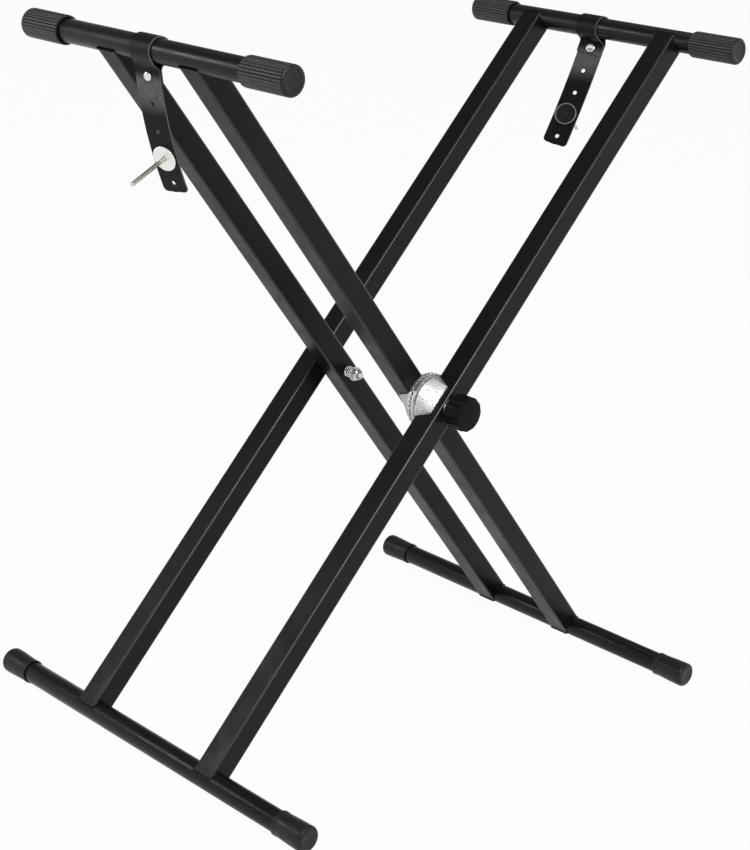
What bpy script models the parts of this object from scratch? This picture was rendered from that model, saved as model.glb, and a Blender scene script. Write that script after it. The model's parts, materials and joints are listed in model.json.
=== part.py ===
"""Double x keyboard stand, opened to its middle height. Metres, +Z up, front is -Y.

Two welded frames cross at one pivot axis along Y. The outer frame leans up to the right (+X),
the inner frame leans up to the left and turns between the outer frame's legs. A pair of toothed
discs on the front pivot locks the angle, and a knob draws them together against a rear spring.
"""
import math

import bmesh
import bpy
from mathutils import Matrix, Vector

# Overall shape
LEAN = math.radians(48.8)          # leg angle above the floor, as opened in the photograph
FOOT_ARM = 0.496                   # pivot axis to foot bar axis, along a leg
TOP_ARM = 0.536                    # pivot axis to top bar axis, along a leg
TOP_SPAN = 0.414                   # top bar with its two caps
FOOT_SPAN = 0.536                  # foot bar with its two caps
OUTER_LEG_Y = 0.1055               # centre of each outer leg, either side of the middle
LEG_GAP = 0.012                    # open space between an outer leg and the inner leg beside it

# Tubes
TUBE = 0.028                       # square leg tube, outside
TUBE_WALL = 0.0012
TUBE_CORNER = 0.0022               # outside corner radius
BAR_R = 0.0127                     # round bars
BAR_WALL = 0.0012
FIT = 0.0003                       # clearance between pieces that touch

# Ribbed sleeves on the top bars
TOP_CAP_WALL = 0.0027
TOP_BARE = 0.0245                  # bare bar between an outer leg and a sleeve
TOP_CAP_END = 0.003
TOP_CAP_RIBS = 28
TOP_CAP_LAND = 0.54                # share of a rib's pitch that is flat land
TOP_CAP_GROOVE = 0.0007
TOP_CAP_CHAMFER = 0.0014

# Rubber feet on the foot bars
FOOT_CAP_LENGTH = 0.045
FOOT_CAP_END = 0.004
FOOT_CAP_MOUTH_WALL = 0.001
FOOT_CAP_FLARE_WALL = 0.0022
FOOT_CAP_FLAT = 0.0003             # how far its round is cut flat for the floor
FOOT_CAP_LIP = 0.0004
FOOT_CAP_LIP_LENGTH = 0.0045
FOOT_CAP_STRAIGHT = 0.006          # from the mouth to where the flare starts
FOOT_CAP_FULL = 0.0125             # full width, back from the closed end
FOOT_CAP_ROUND = 0.0042

# Toothed discs on the front pivot
GEAR_R = 0.0325
GEAR_TEETH = 36
GEAR_TOOTH_DEPTH = 0.0014
GEAR_TOOTH_INNER_R = 0.019
GEAR_TOOTH_STEP = 0.0006           # run of the slope at the teeth's inner ends
GEAR_CHAMFER = 0.0008
CHEEK_ROOT_INSET = 0.0013          # its root inside the disc's rim
CHEEK_FLAT = math.radians(38)      # half the part of the root arc that slopes to the edge
CHEEK_DEPTH = 0.0205
CHEEK_EDGE_HALF = 0.0185
CHEEK_EDGE_THICKNESS = 0.0018
CHEEK_ROOT_SINK = 0.002

# Pivot hardware
BOLT_R = 0.004
BOLT_HEAD_R = 0.0095
BOLT_HEAD_HEIGHT = 0.0048
WASHER_R = 0.0088
WASHER_THICKNESS = 0.0016
NUT_FLATS = 0.013
NUT_HEIGHT = 0.0068
NUT_COLLAR = 0.0015
NUT_CHAMFER = 0.0007
SPRING_CLEAR = 0.0009              # between the bolt and the coils round it
SPRING_WIRE_R = 0.00085
SPRING_LENGTH = 0.0122
SPRING_TURNS = 5
SPRING_END_EASE = 0.6              # how much closer the end turns lie than the middle ones
SPACER_R = 0.0095
RELEASE_TRAVEL = 0.0027
BOLT_TIP = 0.003

# Knob
KNOB_R = 0.0205
KNOB_LENGTH = 0.0215
KNOB_NECK_R = 0.0135
KNOB_NECK = 0.0065
KNOB_LOBES = 12
KNOB_SCALLOP = 0.0013
KNOB_ROUND = 0.0028
KNOB_BLIND = 0.005
KNOB_CROWN = 0.0004
KNOB_FILLET = 0.001
KNOB_WASHER_R = 0.0125
INSERT_R = 0.0068
INSERT_LENGTH = 0.013

# Leather straps and their clamp screws
STRAP_WIDTH = 0.032
STRAP_THICKNESS = 0.002
STRAP_PITCH = 0.0295
STRAP_HOLES = 4
STRAP_CLAMP_HOLE = 3
STRAP_END = 0.0105
STRAP_FLAP = 0.0075
STRAP_NECK = 0.0135                # from the bar to the rivet
STRAP_FLAT_EDGE = 0.0005           # straight stretch past the rivet's flange
STRAP_CORNER_R = 0.005
RIVET_SHANK_R = 0.0021
RIVET_DOME_R = 0.0047
RIVET_DOME_HEIGHT = 0.002
RIVET_FLANGE_R = 0.0056
RIVET_ROLL = 0.0013                # height of the rolled rim round the eye
RIVET_EYE_R = 0.0013
RIVET_EYE_DEPTH = 0.0006
SCREW_R = 0.0024
SCREW_REACH = 0.056
DISC_R = 0.014
DISC_THICKNESS = 0.0028
DISC_RIM = 0.0016
DISC_DISH = 0.0006
SCREW_POINT = 0.0008
CLAMP_WASHER_THICKNESS = 0.0014

# How each strap hangs: its place along the bar, its lean at the rivet and at the end, its twist
LEFT_STRAP_Y = 0.006
LEFT_LEAN_TOP = math.radians(12)
LEFT_LEAN_END = math.radians(27)
LEFT_TWIST = math.radians(12)
RIGHT_STRAP_Y = 0.0135
RIGHT_LEAN_TOP = math.radians(22)
RIGHT_LEAN_END = math.radians(28.5)
RIGHT_TWIST = math.radians(20)

# Worked out from the above
CAP_BORE_R = BAR_R + FIT
TOP_CAP_R = CAP_BORE_R + TOP_CAP_WALL
FOOT_CAP_MOUTH_R = CAP_BORE_R + FOOT_CAP_MOUTH_WALL
FOOT_CAP_FLARE_R = CAP_BORE_R + FOOT_CAP_FLARE_WALL
FOOT_BAR_Z = FOOT_CAP_FLARE_R - FOOT_CAP_FLAT
CHEEK_ROOT_R = GEAR_R - CHEEK_ROOT_INSET
SPRING_R = BOLT_R + SPRING_CLEAR + 2 * SPRING_WIRE_R
STRAP_PINCH = BAR_R + FIT + STRAP_NECK
STRAP_FLAT = RIVET_FLANGE_R + STRAP_FLAT_EDGE
STRAP_HOLE_R = SCREW_R + FIT
INNER_LEG_Y = OUTER_LEG_Y - TUBE - LEG_GAP
PIVOT_Z = FOOT_BAR_Z + FOOT_ARM * math.sin(LEAN)
TOP_X = TOP_ARM * math.cos(LEAN)
TOP_Z = PIVOT_Z + TOP_ARM * math.sin(LEAN)
FOOT_X = FOOT_ARM * math.cos(LEAN)
LEG_TILT = math.pi / 2 - LEAN
OUTER_FACE = OUTER_LEG_Y + TUBE / 2
TOP_CAP_LENGTH = TOP_SPAN / 2 - OUTER_FACE - TOP_BARE
OUTER_BACK = OUTER_LEG_Y - TUBE / 2
INNER_FACE = INNER_LEG_Y + TUBE / 2
INNER_BACK = INNER_LEG_Y - TUBE / 2
GEAR_THICKNESS = LEG_GAP / 2 - FIT - FIT / 2
BOLT_HOLE_R = BOLT_R + FIT
CUT_OVERLAP = 0.004

# An object turned this way has its own +Z along -Y or +Y, and its own +Y straight up
FORWARD = (math.pi / 2, 0, 0)
REARWARD = (math.pi / 2, 0, math.pi)
ROUND = 28
FINE_ROUND = 16


def clear_scene():
    """Remove every object that is already in the scene."""
    for old in list(bpy.data.objects):
        bpy.data.objects.remove(old)


def material(name, colour, roughness, metallic=0.0):
    """A plain Principled BSDF material."""
    made = bpy.data.materials.new(name)
    made.use_nodes = True
    shader = made.node_tree.nodes["Principled BSDF"]
    shader.inputs["Base Color"].default_value = (*colour, 1)
    shader.inputs["Roughness"].default_value = roughness
    shader.inputs["Metallic"].default_value = metallic
    return made


def place(thing, parent, location, rotation=(0, 0, 0)):
    """Put an object in the scene at a place under its parent."""
    bpy.context.scene.collection.objects.link(thing)
    thing.parent = parent
    thing.location = location
    thing.rotation_euler = rotation
    return thing


def axis_empty(name, location, parent=None):
    """A marker on a joint's axis, which carries what turns about it."""
    return place(bpy.data.objects.new(name, None), parent, location)


def mesh_object(name, bm, finish, parent, location=(0, 0, 0), rotation=(0, 0, 0)):
    """A smooth-shaded object of its own material, made from a bmesh."""
    bmesh.ops.recalc_face_normals(bm, faces=bm.faces)
    mesh = bpy.data.meshes.new(name)
    bm.to_mesh(mesh)
    bm.free()
    mesh.materials.append(finish)
    mesh.shade_smooth()
    mesh.set_sharp_from_angle(angle=math.radians(30))
    return place(bpy.data.objects.new(name, mesh), parent, location, rotation)


def combine(target, tool_mesh, operation):
    """Cut a tool out of an object, or join it on, with a Boolean that stays on the object."""
    bmesh.ops.recalc_face_normals(tool_mesh, faces=tool_mesh.faces)
    mesh = bpy.data.meshes.new(target.name + "_tool")
    tool_mesh.to_mesh(mesh)
    tool_mesh.free()
    tool = place(bpy.data.objects.new(mesh.name, mesh), target, (0, 0, 0))
    tool.hide_render = True
    tool.display_type = "WIRE"
    boolean = target.modifiers.new("shape", "BOOLEAN")
    boolean.operation = operation
    boolean.solver = "EXACT"
    boolean.object = tool


def skin(bm, rings, looped):
    """Close a row of rings into one solid: looped back to the first ring, or capped at both ends."""
    rows = [[bm.verts.new(point) for point in ring] for ring in rings]
    count = len(rings[0])
    pairs = list(zip(rows, rows[1:]))
    if looped:
        pairs.append((rows[-1], rows[0]))
    else:
        bm.faces.new(rows[0])
        bm.faces.new(rows[-1])
    for low, high in pairs:
        for i in range(count):
            j = (i + 1) % count
            bm.faces.new((low[i], low[j], high[j], high[i]))
    return bm


def even_angles(count):
    """Angles round a circle, with a side and not a corner at the top."""
    return [2 * math.pi * (i + 0.5) / count for i in range(count)]


def circle(radius, height, angles, outline=None):
    """One ring about local Z. The outline gives the radius at each angle where it isn't round."""
    points = []
    for angle in angles:
        reach = outline(radius, angle) if outline else radius
        points.append((reach * math.cos(angle), reach * math.sin(angle), height))
    return points


def turned(profile, segments=ROUND, looped=False):
    """A solid turned about local Z from (radius, height) points."""
    angles = even_angles(segments)
    rings = [circle(radius, height, angles) for radius, height in profile]
    return skin(bmesh.new(), rings, looped)


def cylinder(bm, radius, start, end, segments=ROUND):
    """Add a closed cylinder between two points."""
    start = Vector(start)
    end = Vector(end)
    turn = (end - start).to_track_quat("Z", "Y").to_matrix().to_4x4()
    length = (end - start).length
    rings = []
    for height in (0, length):
        flat = circle(radius, height, even_angles(segments))
        rings.append([start + turn @ Vector(point) for point in flat])
    return skin(bm, rings, False)


def rounded_square(width, corner, steps=2):
    """Outline of a square with round corners."""
    points = []
    inset = width / 2 - corner
    for quarter in range(4):
        centre_angle = math.pi / 4 + quarter * math.pi / 2
        centre = (math.copysign(inset, math.cos(centre_angle)),
                  math.copysign(inset, math.sin(centre_angle)))
        for step in range(steps + 1):
            angle = quarter * math.pi / 2 + step * math.pi / 2 / steps
            points.append((centre[0] + corner * math.cos(angle),
                           centre[1] + corner * math.sin(angle)))
    return points


def leg(name, side_y, tilt, finish, parent):
    """A square tube from foot bar to top bar, saddled to both and drilled for the pivot bolt."""
    outer = rounded_square(TUBE, TUBE_CORNER)
    inner = rounded_square(TUBE - 2 * TUBE_WALL, TUBE_CORNER - TUBE_WALL)
    ends = (-FOOT_ARM, TOP_ARM)
    rings = [[(x, y, z) for x, y in outer] for z in ends]
    rings += [[(x, y, z) for x, y in inner] for z in reversed(ends)]
    piece = mesh_object(name, skin(bmesh.new(), rings, True), finish, parent,
                        (0, side_y, 0), (0, tilt, 0))
    cutter = bmesh.new()
    reach = TUBE / 2 + CUT_OVERLAP
    for z in ends:
        cylinder(cutter, BAR_R + FIT, (0, -reach, z), (0, reach, z))
    cylinder(cutter, BOLT_HOLE_R, (0, -reach, 0), (0, reach, 0), FINE_ROUND)
    combine(piece, cutter, "DIFFERENCE")
    return piece


def bar(name, span, cap_end, finish, parent, location):
    """A round tube along Y whose ends stop just short of the caps' end walls."""
    half = span / 2 - cap_end - FIT
    profile = [(BAR_R, -half), (BAR_R, half), (BAR_R - BAR_WALL, half), (BAR_R - BAR_WALL, -half)]
    return mesh_object(name, turned(profile, looped=True), finish, parent, location, FORWARD)


def rib_angles():
    """Three points for each rib: both edges of its land, then the groove after it."""
    pitch = 2 * math.pi / TOP_CAP_RIBS
    angles = []
    for i in range(TOP_CAP_RIBS):
        middle = math.pi / 2 + i * pitch
        angles += [middle - pitch * TOP_CAP_LAND / 2, middle + pitch * TOP_CAP_LAND / 2,
                   middle + pitch / 2]
    return angles


def top_cap(name, finish, parent, location, rotation):
    """A sleeve with lengthwise ribs, its mouth at local z 0 and its closed end outward."""
    angles = rib_angles()
    grooves = set(angles[2::3])
    land = 1 / math.cos(math.pi / TOP_CAP_RIBS * TOP_CAP_LAND)

    def ribbed(radius, angle):
        return radius - TOP_CAP_GROOVE if angle in grooves else radius * land

    bore = CAP_BORE_R
    end = TOP_CAP_LENGTH
    chamfer = TOP_CAP_CHAMFER
    rings = [
        circle(TOP_CAP_R - TOP_CAP_GROOVE - chamfer, end, angles),
        circle(TOP_CAP_R, end - chamfer, angles, ribbed),
        circle(TOP_CAP_R, 0, angles, ribbed),
        circle(bore, 0, angles),
        circle(bore, end - TOP_CAP_END, angles),
    ]
    return mesh_object(name, skin(bmesh.new(), rings, False), finish, parent, location, rotation)


def foot_cap(name, finish, parent, location, rotation):
    """A rubber foot that flares towards its closed end and is flat where it meets the floor."""
    angles = even_angles(ROUND)

    def flat_bottomed(radius, height):
        ring = circle(radius, height, angles)
        return [(x, max(y, -FOOT_BAR_Z), z) for x, y, z in ring]

    bore = CAP_BORE_R
    end = FOOT_CAP_LENGTH
    mouth = FOOT_CAP_MOUTH_R
    flare = FOOT_CAP_FLARE_R
    soft = FOOT_CAP_ROUND
    full = end - FOOT_CAP_FULL
    rings = [
        flat_bottomed(flare - soft, end),
        flat_bottomed(flare - soft * 0.3, end - soft * 0.3),
        flat_bottomed(flare, end - soft),
        flat_bottomed(flare, full),
        flat_bottomed((flare + mouth) / 2, (full + FOOT_CAP_STRAIGHT) / 2),
        flat_bottomed(mouth, FOOT_CAP_STRAIGHT),
        flat_bottomed(mouth, FOOT_CAP_LIP_LENGTH),
        flat_bottomed(mouth + FOOT_CAP_LIP, FOOT_CAP_LIP_LENGTH - FOOT_CAP_LIP),
        flat_bottomed(mouth + FOOT_CAP_LIP, 0),
        circle(bore, 0, angles),
        circle(bore, end - FOOT_CAP_END, angles),
    ]
    return mesh_object(name, skin(bmesh.new(), rings, False), finish, parent, location, rotation)


def gear_disc():
    """A disc with radial teeth on its +Z face and its flat back at z 0."""
    count = GEAR_TEETH * 2
    angles = even_angles(count)
    crest = GEAR_THICKNESS
    valley = GEAR_THICKNESS - GEAR_TOOTH_DEPTH

    def toothed(radius):
        ring = circle(radius, 0, angles)
        return [(x, y, crest if i % 2 else valley) for i, (x, y, _) in enumerate(ring)]

    rings = [
        circle(GEAR_R - GEAR_CHAMFER, 0, angles),
        circle(GEAR_R, GEAR_CHAMFER, angles),
        toothed(GEAR_R),
        toothed(GEAR_TOOTH_INNER_R),
        circle(GEAR_TOOTH_INNER_R - GEAR_TOOTH_STEP, valley, angles),
        circle(BOLT_HOLE_R, valley, angles),
        circle(BOLT_HOLE_R, 0, angles),
    ]
    return skin(bmesh.new(), rings, True)


def cheek(bm, side):
    """A wedge that grips one side of the leg, from the disc's rim down to a thin edge."""
    wall = TUBE / 2 + FIT
    widest = math.acos(wall / CHEEK_ROOT_R)
    steps = 12
    root = []
    edge = []
    for step in range(steps + 1):
        angle = widest * (2 * step / steps - 1)
        root.append((CHEEK_ROOT_R * math.cos(angle), CHEEK_ROOT_R * math.sin(angle)))
        share = min(max(angle / CHEEK_FLAT, -1), 1)
        beyond = max(abs(angle) - CHEEK_FLAT, 0) / (widest - CHEEK_FLAT)
        edge.append((wall + CHEEK_EDGE_THICKNESS * (1 - beyond), CHEEK_EDGE_HALF * share))
    rings = []
    for outline, height in ((root, CHEEK_ROOT_SINK), (root, -FIT), (edge, -CHEEK_DEPTH)):
        rings.append([(side * out, along, height) for out, along in outline])
    skin(bm, rings, False)


def gear_half(name, side_y, faces, tilt, finish, parent):
    """One toothed disc with the two cheeks that hold it on its leg."""
    turn = Matrix.Rotation(-faces * math.pi / 2, 4, "X")
    disc = gear_disc()
    bmesh.ops.transform(disc, matrix=turn, verts=disc.verts)
    piece = mesh_object(name, disc, finish, parent, (0, side_y, 0), (0, tilt, 0))
    cheeks = bmesh.new()
    for side in (-1, 1):
        cheek(cheeks, side)
    bmesh.ops.transform(cheeks, matrix=turn, verts=cheeks.verts)
    combine(piece, cheeks, "UNION")
    return piece


def domed_bolt(name, length, finish, parent, location, rotation):
    """A round-headed bolt: shank along local +Z from its seat at z 0, head behind it."""
    head = BOLT_HEAD_HEIGHT
    profile = [
        (BOLT_HEAD_R * 0.35, -head),
        (BOLT_HEAD_R * 0.72, -head * 0.82),
        (BOLT_HEAD_R * 0.94, -head * 0.45),
        (BOLT_HEAD_R, -head * 0.16),
        (BOLT_HEAD_R, 0),
        (BOLT_R, 0),
        (BOLT_R, length - BOLT_R * 0.25),
        (BOLT_R * 0.75, length),
    ]
    return mesh_object(name, turned(profile, FINE_ROUND), finish, parent, location, rotation)


def washer(name, radius, hole, thickness, finish, parent, location, rotation=(0, 0, 0)):
    """A flat ring from local z 0 up, with its edges eased."""
    ease = thickness * 0.25
    profile = [
        (hole, 0),
        (radius, 0),
        (radius, thickness - ease),
        (radius - ease, thickness),
        (hole, thickness),
    ]
    return mesh_object(name, turned(profile, ROUND, True), finish, parent, location, rotation)


def lock_nut(name, finish, parent, location, rotation):
    """A six-sided nut with a round collar on the far side from its seat."""
    angles = even_angles(FINE_ROUND)
    sixth = math.pi / 3

    def hexagon(radius, angle):
        return radius / math.cos((angle % sixth) - sixth / 2)

    flats = NUT_FLATS / 2
    top = NUT_HEIGHT - NUT_COLLAR
    rings = [
        circle(BOLT_HOLE_R, 0, angles),
        circle(flats, 0, angles),
        circle(flats, NUT_CHAMFER, angles, hexagon),
        circle(flats, top - NUT_CHAMFER, angles, hexagon),
        circle(flats * 0.93, top, angles),
        circle(flats * 0.9, NUT_HEIGHT, angles),
        circle(BOLT_HOLE_R, NUT_HEIGHT, angles),
    ]
    return mesh_object(name, skin(bmesh.new(), rings, True), finish, parent, location, rotation)


def coil_spring(name, finish, parent, location, rotation):
    """A round-wire spring along local +Z from z 0, its ends flattened to a close last turn."""
    steps_per_turn = 10
    steps = int(SPRING_TURNS * steps_per_turn)
    rise = SPRING_LENGTH - 2 * SPRING_WIRE_R
    middle_r = SPRING_R - SPRING_WIRE_R
    rings = []
    for step in range(steps + 1):
        share = step / steps
        eased = share - math.sin(2 * math.pi * share) / (2 * math.pi) * SPRING_END_EASE
        angle = 2 * math.pi * SPRING_TURNS * share
        centre = Vector((middle_r * math.cos(angle), middle_r * math.sin(angle),
                         SPRING_WIRE_R + rise * eased))
        outward = Vector((math.cos(angle), math.sin(angle), 0))
        ring = []
        for wire_angle in even_angles(5):
            ring.append(centre + SPRING_WIRE_R * (math.cos(wire_angle) * outward
                                                  + math.sin(wire_angle) * Vector((0, 0, 1))))
        rings.append(ring)
    return mesh_object(name, skin(bmesh.new(), rings, False), finish, parent, location, rotation)


def knob_body(name, finish, parent, location, rotation):
    """A grip with shallow scallops and a narrow neck, bored from behind for its insert and bolt."""
    angles = even_angles(KNOB_LOBES * 4)

    def scalloped(radius, angle):
        wave = 0.5 - 0.5 * math.cos(KNOB_LOBES * angle)
        return radius - KNOB_SCALLOP * wave * wave

    end = KNOB_NECK + KNOB_LENGTH
    soft = KNOB_ROUND
    pocket = INSERT_LENGTH + FIT
    rings = [
        circle(KNOB_R * 0.62, end, angles),
        circle(KNOB_R - soft, end - KNOB_CROWN, angles),
        circle(KNOB_R - soft * 0.3, end - soft * 0.35, angles, scalloped),
        circle(KNOB_R, end - soft, angles, scalloped),
        circle(KNOB_R, KNOB_NECK + soft * 0.7, angles, scalloped),
        circle(KNOB_R - soft * 0.6, KNOB_NECK + soft * 0.1, angles, scalloped),
        circle(KNOB_NECK_R + KNOB_FILLET, KNOB_NECK, angles),
        circle(KNOB_NECK_R, KNOB_NECK - KNOB_FILLET, angles),
        circle(KNOB_NECK_R, 0, angles),
        circle(INSERT_R + FIT, 0, angles),
        circle(INSERT_R + FIT, pocket, angles),
        circle(BOLT_HOLE_R, pocket, angles),
        circle(BOLT_HOLE_R, end - KNOB_BLIND, angles),
    ]
    return mesh_object(name, skin(bmesh.new(), rings, False), finish, parent, location, rotation)


def sleeve(name, radius, length, finish, parent, location, rotation):
    """A round bush on the bolt, from local z 0 up."""
    profile = [(BOLT_HOLE_R, 0), (radius, 0), (radius, length), (BOLT_HOLE_R, length)]
    return mesh_object(name, turned(profile, FINE_ROUND, True), finish, parent, location, rotation)


class StrapPath:
    """The strap's route in the plane across its bar: x outward, z up, from the bar's axis.

    It is drawn as for the right side. Side is 1 right, -1 left.
    """

    def __init__(self, side):
        self.side = side
        self.lean_top = RIGHT_LEAN_TOP if side > 0 else LEFT_LEAN_TOP
        self.lean_end = RIGHT_LEAN_END if side > 0 else LEFT_LEAN_END
        self.twist = -RIGHT_TWIST if side > 0 else LEFT_TWIST
        self.pinch = Vector((0, 0, -STRAP_PINCH))
        self.loop_r = BAR_R + FIT + STRAP_THICKNESS / 2
        self.half_pinch = (STRAP_THICKNESS + FIT) / 2
        self.tail_length = STRAP_PITCH * STRAP_HOLES + STRAP_END

    def lean(self, distance):
        """How far the tail leans inward, this far below the rivet."""
        share = max(distance, 0) / self.tail_length
        return self.lean_top + (self.lean_end - self.lean_top) * share

    def down(self, distance):
        """The way the tail runs, this far below the rivet."""
        lean = self.lean(distance)
        return Vector((-math.sin(lean), 0, -math.cos(lean)))

    def outward(self, distance):
        """Square to the tail, away from the stand's middle."""
        down = self.down(distance)
        return Vector((-down.z, 0, down.x))

    def pinch_point(self, layer):
        """The middle of the outer (1) or inner (-1) layer where the rivet holds both."""
        return self.pinch + self.outward(0) * self.half_pinch * layer

    def flat_start(self, layer):
        """Where a layer begins its straight stretch above the rivet."""
        return self.pinch_point(layer) - self.down(0) * STRAP_FLAT

    def leaves_bar(self, layer):
        """The angle round the bar at which a layer leaves it, straight for the rivet."""
        aim_point = self.flat_start(layer)
        swing = math.acos(self.loop_r / aim_point.length)
        return math.atan2(aim_point.z, aim_point.x) + layer * swing

    def around(self, angle):
        """A point of the loop, at an angle round the bar."""
        return Vector((math.cos(angle), 0, math.sin(angle))) * self.loop_r

    def tail_point(self, distance):
        """The middle of the tail, this far below the rivet."""
        point = self.pinch_point(1)
        steps = 24
        for step in range(steps):
            point = point + self.down(distance * (step + 0.5) / steps) * distance / steps
        return point

    def curve(self, start, start_way, end, end_way, count):
        """Points between two ends along a smooth curve, without the ends themselves."""
        length = (end - start).length
        a = start + start_way * length * 0.4
        b = end - end_way * length * 0.2
        points = []
        for i in range(1, count):
            t = i / count
            points.append(start * (1 - t) ** 3 + a * 3 * t * (1 - t) ** 2
                          + b * 3 * t * t * (1 - t) + end * t ** 3)
        return points

    def stations(self):
        """Each station's middle, its share of the twist, and the way its width turns towards."""
        marks = [self.tail_length - STRAP_CORNER_R * share for share in (0, 0.1, 0.4, 1)]
        bends = 7
        marks += [self.tail_length * bend / bends for bend in range(bends - 1, 0, -1)]
        result = [(self.tail_point(mark), 1.0, self.outward(mark)) for mark in marks]
        out = self.outward(0)
        for layer in (1, -1):
            pinch = self.pinch_point(layer)
            flat_start = self.flat_start(layer)
            bar_point = self.around(self.leaves_bar(layer))
            bar_way = (flat_start - bar_point).normalized()
            joined = self.curve(bar_point, bar_way, flat_start, self.down(0), 5)
            joined.append(flat_start)
            turning = [(point, self.twist_share(point), out) for point in joined]
            if layer == 1:
                result.append((pinch, 1.0, out))
                result += list(reversed(turning))
                result += [(point, 0.0, out) for point in self.over_bar()]
            else:
                result += turning
                for share in (0, 0.6, 1):
                    result.append((pinch + self.down(0) * STRAP_FLAP * share, 1.0, out))
        return result

    def twist_share(self, point):
        """The twist starts below the bar and is whole at the rivet."""
        whole = STRAP_PINCH + self.down(0).z * STRAP_FLAT - self.half_pinch
        share = min(max(-point.z - self.loop_r, 0) / (whole - self.loop_r), 1)
        return share * share * (3 - 2 * share)

    def over_bar(self):
        """Points round the bar, from the outer side over the top to the inner side."""
        steps = 15
        first = self.leaves_bar(1)
        last = self.leaves_bar(-1) + 2 * math.pi
        return [self.around(first + (last - first) * step / steps) for step in range(steps + 1)]

    def end_width(self, distance_from_end):
        """Half the strap's width near the tail's rounded end."""
        short = max(STRAP_CORNER_R - distance_from_end, 0)
        return STRAP_WIDTH / 2 - STRAP_CORNER_R + math.sqrt(STRAP_CORNER_R ** 2 - short ** 2)

    def face_way(self, distance):
        """The tail's outer face normal, this far below the rivet, on the strap's own side."""
        way = self.outward(distance) * math.cos(self.twist)
        return self.placed(way - Vector((0, 1, 0)) * math.sin(self.twist))

    def placed(self, vector):
        """The same vector on the strap's own side of the stand."""
        return Vector((self.side * vector.x, vector.y, vector.z))


def strap(name, side, finish, parent):
    """A leather strip looped over its bar and riveted below it. Side is 1 right, -1 left."""
    path = StrapPath(side)
    stations = path.stations()
    middles = [station[0] for station in stations]
    rings = []
    for i, (middle, share, out) in enumerate(stations):
        before = middles[max(i - 1, 0)]
        after = middles[min(i + 1, len(middles) - 1)]
        way = (after - before).normalized()
        angle = share * path.twist
        across = Vector((0, 1, 0)) * math.cos(angle) + out * math.sin(angle)
        normal = across.cross(way).normalized()
        half = path.end_width((middle - middles[0]).length)
        if i == 0:
            half = path.end_width(0)
        corners = ((-1, -1), (1, -1), (1, 1), (-1, 1))
        ring = []
        for a, b in corners:
            corner = middle + across * half * a + normal * STRAP_THICKNESS / 2 * b
            ring.append(path.placed(corner))
        rings.append(ring)
    piece = mesh_object(name, skin(bmesh.new(), rings, False), finish, parent)
    combine(piece, strap_holes(path), "DIFFERENCE")
    return piece


def strap_holes(path):
    """Cutters for the rivet's hole and for the row of holes down the tail."""
    cutter = bmesh.new()
    reach = STRAP_THICKNESS * 1.7
    way = path.face_way(0)
    centre = path.placed(path.pinch)
    cylinder(cutter, RIVET_SHANK_R + FIT, centre - way * reach, centre + way * reach, FINE_ROUND)
    for hole in range(1, STRAP_HOLES + 1):
        distance = hole * STRAP_PITCH
        way = path.face_way(distance)
        centre = path.placed(path.tail_point(distance))
        cylinder(cutter, STRAP_HOLE_R, centre - way * reach, centre + way * reach, FINE_ROUND)
    return cutter


def aim(vector):
    """Euler angles that turn local +Z to a direction."""
    return vector.to_track_quat("Z", "Y").to_euler()


def rivet(name, side, finish, parent):
    """A rivet through both layers: a dome on the outer face, a rolled eye on the inner face."""
    path = StrapPath(side)
    face = path.half_pinch + STRAP_THICKNESS / 2 + FIT
    profile = [
        (RIVET_EYE_R, -face + RIVET_EYE_DEPTH),
        (RIVET_EYE_R * 1.5, -face - RIVET_ROLL),
        (RIVET_FLANGE_R * 0.85, -face - RIVET_ROLL * 0.7),
        (RIVET_FLANGE_R, -face),
        (RIVET_SHANK_R, -face),
        (RIVET_SHANK_R, face),
        (RIVET_DOME_R, face),
        (RIVET_DOME_R * 0.85, face + RIVET_DOME_HEIGHT * 0.6),
        (RIVET_DOME_R * 0.45, face + RIVET_DOME_HEIGHT),
    ]
    return mesh_object(name, turned(profile, FINE_ROUND), finish, parent,
                       path.placed(path.pinch), aim(path.face_way(0)))


def clamp_screw(name, finish, parent):
    """A thin screw through the strap, with a flat disc for its head on the inner side."""
    face = STRAP_THICKNESS / 2 + FIT
    back = face + DISC_THICKNESS
    rim = DISC_R - DISC_RIM
    profile = [
        (rim, -back + DISC_DISH),
        (rim, -back),
        (DISC_R, -back),
        (DISC_R, -face),
        (SCREW_R, -face),
        (SCREW_R, face + SCREW_REACH - SCREW_POINT),
        (SCREW_R * 0.7, face + SCREW_REACH),
    ]
    return mesh_object(name, turned(profile), finish, parent)


def clamp(name, side, screw_finish, washer_finish, parent):
    """The clamp screw and its washer in the strap's third hole, square to the strap."""
    path = StrapPath(side)
    distance = STRAP_PITCH * STRAP_CLAMP_HOLE
    axis = axis_empty(name + "_axis", path.placed(path.tail_point(distance)), parent)
    axis.rotation_euler = aim(path.face_way(distance))
    clamp_screw(name + "_screw", screw_finish, axis)
    washer(name + "_washer", DISC_R, SCREW_R + FIT, CLAMP_WASHER_THICKNESS, washer_finish, axis,
           (0, 0, STRAP_THICKNESS / 2 + FIT))


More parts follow.
